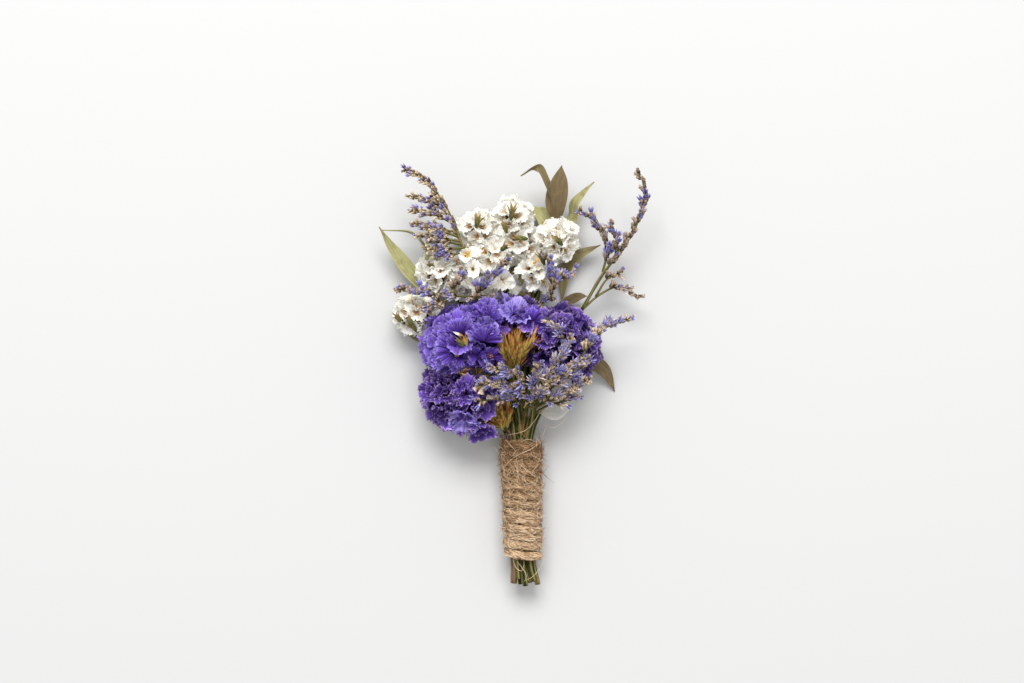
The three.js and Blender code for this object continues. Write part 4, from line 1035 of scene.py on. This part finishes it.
# For each spray: share of the florets that still hold their petals, how many crowd beside each, how closely
# those follow the spike, how wide the petals open, how plump a floret is, and how pale its bracts are
HABIT = {
    "sea_lavender_front": (0.44, 5, 0.7, 1.2, 0.7, 0.3),
    "sea_lavender_left": (0.13, 4, 1.5, 0.3, 0.66, 0.42),
    "sea_lavender_right": (0.46, 2, 1.2, 0.4, 0.76, 0.0),
    "sea_lavender_middle": (0.64, 3, 1.2, 0.5, 0.95, 0.0),
}
SPRAYS = {
    "sea_lavender_front": (("front_spray", [(2.7, 22, 10.4), (3.2, 26, 13.6), (3.6, 30, 16.5)]), [], [
        spike([(3.2, 26, 13.6), (9, 29, 16), (14, 31.5, 15.5), (18.5, 34, 14.5)], (0, 0.2, 1)),
        spike([(3.4, 28, 15), (9, 32.6, 17.5), (14, 36, 17.5), (18.5, 39.6, 16)], (-0.2, 0.3, 1)),
        spike([(3.6, 30, 16.5), (7, 35.5, 19), (11, 41, 19.5), (13.4, 45.6, 18.6)], (-0.2, 0.2, 1)),
        spike([(3.6, 30, 16.5), (3.4, 34, 19), (4.6, 38.6, 20.6)]),
        spike([(3.2, 26, 13.6), (-2, 28.4, 16.5), (-7, 28.8, 17.5), (-12.5, 28.2, 17.8)]),
        spike([(3.4, 28, 15), (-0.5, 31.4, 18.4), (-6, 33, 19.6), (-11.5, 33.6, 19.8)]),
        spike([(3.6, 30, 16.5), (0, 34.5, 20), (-4.5, 36.6, 21), (-9, 38, 21)]),
        spike([(2.9, 24, 12), (7, 26.8, 14), (11, 28, 14.2), (15, 29.4, 13)], (0, -0.2, 1), 0.3),
        spike([(3.5, 29, 16), (7.6, 33.6, 19), (12, 37, 19.8), (16.6, 39.4, 19)]),
        spike([(14, 36, 17.5), (18.5, 43.6, 17), (23, 48.6, 15), (30, 51, 13)], (-0.3, 0.9, 0.4), 0.2),
        spike([(12.4, 43.4, 18.8), (10.6, 47.4, 20.4), (6.6, 51.6, 20)], UP, 0.2),
        spike([(3.2, 26.4, 14), (5.6, 28, 16.2), (8.6, 28.4, 17)], UP, 0.2),
        spike([(3.2, 27, 14.4), (1.2, 28.6, 17), (-1.6, 29.4, 17.6)], UP, 0.2),
        spike([(3.4, 28, 15.4), (4.8, 30.4, 18.4), (6, 32, 18.8)], UP, 0.1),
        spike([(3.2, 27, 14.4), (3.4, 28.8, 17.4), (3.2, 31.4, 19)], UP, 0.2),
    ]),
    "sea_lavender_left": (("left_spray", [(-3.6, 30, 7), (-5.8, 44, 6.4), (-8.4, 51, 6.4), (-12.4, 60, 10),
                                          (-15, 66, 11.8), (-16.2, 70, 12.4)]), [], [
        spike([(-16.2, 70, 12), (-19.2, 78, 13), (-23.5, 86, 14), (-28, 91, 14), (-32.4, 93.2, 13)],
              (-0.8, 0.1, 0.6), 0.1, 0.6),
        spike([(-20.4, 80.5, 13.2), (-25, 84, 12.6), (-31.4, 85.8, 11)], (-0.2, 0.4, 0.9)),
        spike([(-19.2, 78, 13), (-24.5, 80.6, 13.6), (-30.8, 81.8, 11.4)], (-0.2, 0.3, 0.9)),
        spike([(-18.2, 75.4, 12.7), (-24, 77, 12.6), (-30.2, 78.2, 11.6)], (-0.3, 0.2, 0.9)),
        spike([(-17.4, 73.2, 12.4), (-22.6, 74, 13.2), (-29, 74.8, 12.6)], (-0.3, -0.2, 0.9)),
        spike([(-16.6, 71.2, 12.4), (-21.5, 71.2, 13.6), (-27, 71.2, 13)], (-0.3, -0.4, 0.85)),
        spike([(-17.9, 74.4, 12.6), (-22.2, 75.8, 14), (-27, 76.6, 14)], (-0.3, 0, 0.9)),
        spike([(-17, 72.3, 12.4), (-21.2, 73, 12), (-25.6, 73.2, 11.4)], (-0.3, 0, 0.9)),
        spike([(-16.3, 70.2, 12.4), (-20, 69.4, 12.8), (-24, 69.4, 12)], (-0.3, -0.2, 0.9)),
    ]),
    "sea_lavender_right": (("right_spray", [(4.2, 28, 3.9), (8.2, 42, 3.6), (14, 49.5, 4.4),
                                            (17.2, 54, 5.6)]), [], [
        spike([(17.2, 54, 5.6), (22.4, 63.4, 8), (27.3, 69.6, 9.5), (31.6, 76.6, 11), (35, 85.6, 13),
               (33, 92.4, 14)], (-0.6, 0.2, 0.7), 0.26, 0.7),
        spike([(23, 64.6, 8.2), (24, 71, 9.5), (21.4, 77.6, 11), (16.6, 81.6, 12)], (0.2, 0.3, 0.9), 0.1),
        spike([(26.4, 68.6, 9.3), (26.6, 73, 12), (25, 78, 13)], (-0.2, 0.2, 0.95)),
        spike([(17.2, 54, 5.6), (22.3, 58.4, 7), (27.4, 60.4, 8), (33.2, 57.6, 8)], (0.1, 0.3, 0.9), 0.45),
        spike([(21, 57.6, 6.8), (24, 62.5, 8), (27.8, 64.2, 8)], (0.2, 0.2, 0.9), 0.35),
    ]),
    "sea_lavender_middle": (("middle_spray", [(0.1, 30, 7.3), (0.4, 42, 6.4), (-0.6, 50, 6.2),
                                              (-1.6, 55.4, 9)]), [
        ([(-1.4, 53.6, 8.2), (-7, 56.6, 12.4), (-14, 57.4, 13.4)], 0.6),
        ([(-14, 57.4, 13.4), (-19, 57.8, 13.6), (-23, 57.8, 13.6)], 0.5),
        ([(-1.4, 53.6, 8.2), (3, 55.4, 11), (8.2, 57, 12.8)], 0.6),
    ], [
        spike([(-13, 57.4, 13.4), (-9.5, 62, 14.6), (-4.8, 67, 15)], (-0.3, 0.25, 0.9), 0),
        spike([(-19, 57.8, 13.6), (-18.6, 60.8, 14.4), (-17, 64.6, 14.6)], (-0.3, 0.1, 0.9), 0.1),
        spike([(-23, 57.8, 13.6), (-28.5, 58.8, 13.6), (-34.6, 59.6, 12.6)], (-0.2, 0.4, 0.85), 0),
        spike([(-19, 57.8, 13.6), (-24, 55.4, 14), (-27.6, 54.4, 13.6)], (-0.2, -0.2, 0.9), 0.1),
        spike([(8.2, 57, 12.8), (8.4, 62, 14), (6.8, 68.4, 14.4)], (0.3, 0.1, 0.9), 0),
        spike([(8.4, 60, 13.6), (11, 62.8, 14), (14.2, 64.4, 13.6)], (0.1, 0.4, 0.9), 0.1),
    ]),
}
# Plump pale buds without petals in the front spray: foot, axis, length and width
BUDS = [
    ((-11, 33.2, 19.2), (-0.2, -0.9, 0.1), 4.2, 1.5),
    ((-11.6, 33, 19.4), (-0.7, -0.6, 0.1), 3.4, 1.2),
    ((6.4, 34, 19.2), (0.2, -0.6, 0.7), 3.4, 1.2),
    ((0.8, 32.6, 18.6), (-0.3, -0.5, 0.7), 3.2, 1.2),
]
# The papery flake beside the stems: foot, direction, face, length and width
FLAKE = ((4, 25.4, 12.2), unit((0.95, 0.02, -0.2)), (0, 0.2, 1), 9.6, 6.4)
# The crowded florets of the front spray hang no lower, so that the stems stay in view
LOWEST_FLORET = 29
# Beyond this share of a spike the florets thin out and keep fewer petals
TIP_FROM = 0.8
# The calyx of one floret: how far up each ring stands, its width, and its place on the ramp
CALYX_SIDES = 10
CALYX_RISE = np.array([0.2, 0.5, 0.74])
CALYX_WIDTH = np.array([0.22, 0.42, 0.64])
CALYX_SHADE = (0.47, 0.52, 0.6)
BRACTS = 3
PETALS = 5
# How thick the stem of a spray is at its end
SPRAY_END_RADIUS = 0.45


def add_spikelet(piece, root, d, size, seed, blue, opening, plump, pale):
    """One floret of sea lavender: overlapping brown bracts, a pale calyx and, on most, violet petals."""
    u, v = square_to(d)
    for i in range(BRACTS):
        out = around(u, v, seed + 2.2 * i)
        add_blade(piece, root + d * size * 0.07 * i, unit(d + 0.14 * out), -out, size * (0.5 + 0.05 * i),
                  1.35 * plump, 1, pale + 0.5 * chance(seed + i), 0.8, -0.1, 5, 3, along=(0, 0.42))
    angle = circle(CALYX_SIDES)
    rise = CALYX_RISE[:, None, None] * size
    r = CALYX_WIDTH[:, None] * plump * (1 + 0.12 * np.cos(5 * angle))
    made = root + around(u, v, angle) * r[..., None] + rise * d
    shade = np.repeat(CALYX_SHADE, CALYX_SIDES)
    piece.add(made, quads(len(CALYX_RISE), CALYX_SIDES), 1, shade, pale + 0.5 * chance(seed * 1.7))
    if chance(seed * 2.3) > blue:
        return
    opened = 0.1 + 0.5 * opening * chance(seed * 1.3) ** 2
    tone = chance(seed * 0.7) ** 1.5
    length = size * (0.5 + 0.3 * chance(seed * 4.1))
    for i in range(PETALS):
        out = around(u, v, seed + 1.257 * i)
        add_blade(piece, root + d * size * 0.52 + out * 0.15 * plump, unit(d + opened * out), out, length,
                  0.95 * plump, 1, tone, 0.5, 0.12, rows=4, columns=3, along=(0.66, 1))


def add_spike_florets(piece, points, side, start, habit, solid_points, seed):
    """Florets at the solid's places along a spike and halfway between, with more crowded beside each. Only
    those that the solid has are full size."""
    blue, beside, follow, *shape = habit
    curve = Curve(points)
    length = curve.length()
    count = max(2, int(length * (1 - start) / FLORET["spacing"]))
    for i in range(2 * count):
        t = start + (1 - start) * (i / 2 + 0.5) / count
        if t > 1:
            continue
        tangent = curve.tangent(t)[0]
        across = unit(np.cross(tangent, side))
        between, k = i % 2, i // 2
        sign = 1 if (k + between) % 2 else -1
        roll = math.radians(sign * (20 + 40 * chance(k + length + 0.5 * between)))
        lean = math.radians(FLORET["lean"] - 8 * between)
        d = tangent * math.cos(lean) + around(np.cross(across, tangent), across, roll) * math.sin(lean)
        size = FLORET["length"] * (1.1 - 0.35 * t)
        root = curve.at(t)[0]
        if between or not touches(solid_points, root + d * size):
            size *= 0.82
        crowd, kept = (beside, 1) if t < TIP_FROM else (beside // 2, 0.5)
        own = kept * (0.95 if chance(seed + 1.7 * math.floor(7 * t)) < blue else 0.15)
        add_spikelet(piece, root, unit(d), size, seed + 3.3 * i, own, *shape)
        u, v = square_to(d)
        for n in range(crowd):
            aside = around(u, v, seed + i + 2.4 * n)
            foot = root + tangent * 0.55 * (n + 1) * (1 - 2 * t) + aside * 0.3
            heading = unit(d + follow * tangent + 0.35 * aside)
            if foot[1] + size * heading[1] >= LOWEST_FLORET:
                add_spikelet(piece, foot, heading, size * 0.88, seed + 3.3 * i + 1.1 * (n + 1), own, *shape)


def build_sprays():
    for solid, ((stem, stalk), branches, spikes) in SPRAYS.items():
        piece = Piece(solid.replace("sea_lavender", "sea_lavender_spray"))
        front = "front" in solid
        seed = len(solid)
        shared = (HABIT[solid], node_points(solid))
        add_stem(piece, stem, stalk, SPRAY_END_RADIUS, rib=0.15, cut_kind=2)
        for points, radius in branches:
            add_branch(piece, points, radius * 0.7, tone=0.3)
            add_spike_florets(piece, points, UP, 0.25, *shared, 7 * seed + points[0][0])
        for n, (points, side, start, thick) in enumerate(spikes):
            # Painted shade: the spikes of the front spray take a darker tone than those of the other sprays.
            add_branch(piece, points, thick * 0.75, SPIKE_TIP_RADIUS * 0.6, tone=0.1 if front else 0.8)
            add_spike_florets(piece, points, side, start, *shared, 31 * n + seed)
        if front:
            for root, axis, size, plump in BUDS:
                add_spikelet(piece, root, unit(axis), size, 3, 0, 0, plump, 0.5)
            add_blade(piece, *FLAKE, 3, 0.5, 0.35, -0.06, rows=12, columns=9, fullness=1.1)
        petal = PALE_SPRAY_PETAL if "left" in solid else SPRAY_PETAL
        piece.finish(solid, [SPRAY_STEM, petal, CUT_FACE, FILM])


# Twine: two plies twisted together and wound round the stems, with many loose fibres. It is drawn a little
# tighter than the solid, by this pull.
TWINE_PULL = 0.55
TWIST_LENGTH = 5.6
PLY_RADIUS = 0.76
PLY_OFFSET = 0.33
PLY_SIDES = 12
STEPS_PER_TURN = 64
SURFACE_FIBRES = 5000
FLYAWAY_FIBRES = 2000
CROSSING_FIBRES = 170
FIBRE_RADIUS = 0.07
# Long fibres that cross the stems and hang off the ends of the binding
LONG_FIBRES = [
    [(-4.2, 18.4, 9.6), (0.6, 19.6, 10.8), (3.4, 22.4, 11.4), (5.2, 25, 11.8)],
    [(6, 21.5, 9), (8.6, 20.4, 8.4), (11, 21.6, 7.6), (13, 23.8, 7)],
    [(5.4, 17, 9), (6.8, 21.4, 8), (5.6, 25.4, 9), (4.6, 28.6, 10)],
    [(0.8, -22.8, 9), (2.8, -21.8, 9.6), (5, -19.4, 9.4), (6, -17.6, 8.4)],
    [(-1.4, -17.4, 10), (0.2, -19.4, 10), (1.2, -21.4, 9.6), (0.6, -23.2, 9)],
    [(-2.6, -16.8, 9.4), (-1.8, -19, 9.8), (-0.2, -20, 10), (0.6, -18.2, 10)],
    [(-4, 11.8, 9.6), (-1, 10.4, 11.2), (2.4, 7.6, 11.2), (4.8, 6.2, 10)],
    [(-5.6, 8.8, 9), (-2, 12.4, 11.4), (2.2, 14.4, 11.6), (5.2, 16.4, 9.6)],
    [(-6.8, 13, 8), (-7.6, 14.6, 7), (-8.4, 15, 6.4), (-9.2, 14, 6)],
    [(4.8, 3, 9), (6.6, 2.6, 8), (7.6, 1.6, 7), (8, 0.6, 6)],
]


def coil_at(turns):
    """The twine's middle line, a little tighter than the solid's, with the direction out."""
    angle = FULL_TURN * turns - math.pi / 2
    y = turns * TWINE_PITCH
    share = np.clip(y / HALF_BINDING, 0, 1)
    radius = TWINE_COIL_RADIUS - TWINE_PULL + TWINE_FLARE * share**2 * (3 - 2 * share)
    radius = radius + 0.08 * np.sin(turns * 3.7 + 2)
    drift = 0.17 * np.sin(turns * 2.3 + 1) + 0.12 * np.sin(turns * 5.1) + 0.1 * np.sin(turns * 12.7)
    outward = stacked(np.cos(angle), 0, np.sin(angle))
    return stacked(BINDING_LEAN * y, y + drift, AXIS_HEIGHT) + outward * radius[..., None], outward


def build_twine():
    piece = Piece("twisted_jute_twine")
    turns = np.linspace(-HALF_TURNS, HALF_TURNS, TWINE_TURNS * STEPS_PER_TURN + 1)
    path, outward = coil_at(turns)
    tangents = unit(np.gradient(path, axis=0))
    across = np.cross(tangents, outward)
    length = lengths_along(path)[:, None]
    # Painted shade: the plies take darker colours towards the blooms, which shade the top of the binding.
    light = np.clip(0.5 + 0.5 * path[:, 1:2] / HALF_BINDING + 0.12 * np.sin(length * 0.05), 0, 1)
    for ply in range(2):
        turn = FULL_TURN * length / TWIST_LENGTH + math.pi * ply
        u = np.cos(turn) * outward + np.sin(turn) * across
        v = np.cross(tangents, u)
        angle = circle(PLY_SIDES)
        strand = angle + 1.1 * length
        grooves = 0.06 * np.cos(5 * strand) + 0.05 * np.sin(11 * strand + np.sin(length))
        r = PLY_RADIUS * (1 + grooves + 0.06 * np.sin(length * 3.1 + ply) + 0.05 * np.sin(length * 1.3))
        r = r + random.normal(0, 0.035, r.shape)
        made = (path + PLY_OFFSET * u)[:, None] + around(u[:, None], v[:, None], angle) * r[..., None]
        grain = stacked(3 * np.cos(strand), 3 * np.sin(strand), 0.35 * length + 20 * ply)
        tone = 0.5 + 0.3 * np.sin(length * 0.21 + ply * 2) + 0.2 * np.sin(length * 0.83)
        painted_shade_and_tone = (np.repeat(share, PLY_SIDES) for share in (light, tone))
        piece.add(made, quads(len(path), PLY_SIDES), 0, *painted_shade_and_tone, grain)
    add_surface_fibres(piece, SURFACE_FIBRES)
    add_flyaway_fibres(piece, FLYAWAY_FIBRES)
    add_crossing_fibres(piece, CROSSING_FIBRES)
    paths = np.array([Curve(points).at(np.linspace(0, 1, 16)) for points in LONG_FIBRES])
    add_strands(piece, paths, np.full(len(paths), FIBRE_RADIUS), np.full(len(paths), 0.9))
    piece.finish("jute_twine", [JUTE, FIBRE])


def each(low, high, count):
    """One random number for each fibre, in a column."""
    return random.uniform(low, high, count)[:, None]


def add_surface_fibres(piece, count):
    """Fibres that lie along the twine and stand a little off it, with both ends tucked in."""
    start = HALF_TURNS * (2 * random.random(count) ** 0.86 - 1)
    share = np.linspace(0, 1, 4)
    turns = np.clip(start[:, None] + each(0.04, 0.16, count) * share, -HALF_TURNS, HALF_TURNS)
    middle, outward = coil_at(turns)
    roll = each(-1.7, 1.7, count) + random.normal(0.6, 0.7, count)[:, None] * share
    lift = 1.06 + random.exponential(0.12, count)[:, None] * np.sin(math.pi * share) ** 0.5
    lift[:, [0, -1]] = 0.9
    paths = middle + outward * (lift * np.cos(roll))[..., None] + ALONG * (lift * np.sin(roll))[..., None]
    dark = random.random(count) < 0.42
    tones = np.where(dark, random.uniform(0.2, 0.5, count), random.uniform(0.65, 1.0, count))
    # Painted shade: these fibres are darker towards the blooms.
    add_strands(piece, paths, random.uniform(0.06, 0.13, count), tones * (0.98 - 0.48 * start / HALF_TURNS))


def add_flyaway_fibres(piece, count):
    """Fuzz that stands off the sides of the turns."""
    start = HALF_TURNS * (2 * random.random(count) ** 0.6 - 1)
    share = np.linspace(0, 1, 4)
    reach = each(0.03, 0.12, count) * share * random.choice([-1, 1], count)[:, None]
    middle, outward = coil_at(np.clip(start[:, None] + reach, -HALF_TURNS, HALF_TURNS))
    rise = 1.0 + random.exponential(0.45, count)[:, None] * share**1.5
    loose = np.where(start > 1.5, 2.2, 1.1)[:, None]
    aside = each(-0.9, 0.9, count) + loose * random.normal(0, 1, count)[:, None] * share
    paths = middle + outward * rise[..., None] + ALONG * aside[..., None]
    # Painted shade: these fibres are darker towards the blooms.
    tones = random.random(count) ** 0.6 * (0.92 - 0.42 * start / HALF_TURNS)
    add_strands(piece, paths, random.uniform(0.04, 0.08, count), tones)


def add_crossing_fibres(piece, count):
    """Longer, paler fibres that have come loose and wander over several turns, most near the blooms."""
    share = np.linspace(0, 1, 14)
    y = HALF_BINDING * (2 * random.random(count)[:, None] ** 0.6 - 1)
    heading = each(-1.4, 1.4, count) + random.normal(0, 1.3, count)[:, None] * share
    step = each(3, 9, count) / 13
    y = np.clip(y + np.cumsum(step * np.sin(heading), axis=1), -HALF_BINDING, HALF_BINDING + 1.5)
    axis = stacked(BINDING_LEAN * y, AXIS_HEIGHT)
    radius = np.linalg.norm(coil_at(y / TWINE_PITCH)[0][..., [0, 2]] - axis, axis=-1)
    radius = radius + 1.16 + random.exponential(0.16, count)[:, None] * np.sin(math.pi * share)
    angle = each(-0.3, math.pi + 0.3, count) + np.cumsum(step * np.cos(heading), axis=1) / 6
    paths = stacked(BINDING_LEAN * y + radius * np.cos(angle), y, AXIS_HEIGHT + radius * np.sin(angle))
    add_strands(piece, paths, random.uniform(0.05, 0.08, count), random.uniform(0.6, 0.95, count))


# Stage, in metres, apart from the lens, which is in millimetres
CAMERA_PLACE = (-2.87 * MM, 44.9 * MM, 0.694)
CAMERA_LENS = 85
CAMERA_NEAR = 0.01
LIGHT_PLACE = Vector((-0.05, 0.92, 1.06))
LIGHT_TARGET = Vector((0, 0.04, 0))
LIGHT_WIDTH = 1.0
LIGHT_HEIGHT = 0.6
LIGHT_POWER = 25.5
SKY_STRENGTH = 0.95
HALF_FLOOR = 1.5
FLOOR_COLOUR = (0.49, 0.49, 0.486, 1)
FLOOR_ROUGHNESS = 0.8
FLOOR_SHEEN = 0.1


def place_camera():
    camera = bpy.data.objects.new("camera", bpy.data.cameras.new("camera"))
    camera.data.lens = CAMERA_LENS
    camera.data.clip_start = CAMERA_NEAR
    camera.location = CAMERA_PLACE
    bpy.context.scene.collection.objects.link(camera)
    bpy.context.scene.camera = camera


def build_stage():
    h = HALF_FLOOR
    mesh = bpy.data.meshes.new("floor")
    mesh.from_pydata([(-h, -h, 0), (h, -h, 0), (h, h, 0), (-h, h, 0)], [], [(0, 1, 2, 3)])
    floor = bpy.data.objects.new("floor", mesh)
    bpy.context.scene.collection.objects.link(floor)
    material = bpy.data.materials.new("pale_floor")
    material.use_nodes = True
    skin = material.node_tree.nodes["Principled BSDF"]
    skin.inputs["Base Color"].default_value = FLOOR_COLOUR
    skin.inputs["Roughness"].default_value = FLOOR_ROUGHNESS
    skin.inputs["Specular IOR Level"].default_value = FLOOR_SHEEN
    mesh.materials.append(material)
    world = bpy.data.worlds.new("soft")
    world.use_nodes = True
    background = world.node_tree.nodes["Background"]
    background.inputs["Color"].default_value = (1, 1, 1, 1)
    background.inputs["Strength"].default_value = SKY_STRENGTH
    bpy.context.scene.world = world
    light = bpy.data.lights.new("window", "AREA")
    light.shape, light.size, light.size_y = "RECTANGLE", LIGHT_WIDTH, LIGHT_HEIGHT
    light.energy = LIGHT_POWER
    made = bpy.data.objects.new("window", light)
    made.location = LIGHT_PLACE
    made.rotation_euler = (LIGHT_TARGET - LIGHT_PLACE).to_track_quat("-Z", "Y").to_euler()
    bpy.context.scene.collection.objects.link(made)
    bpy.context.scene.view_settings.view_transform = "Standard"


place_camera()
build_stage()
build_twine()
build_stems()
build_twigs()
build_sprays()
for bloom in BLOOMS:
    build_bloom(bloom)
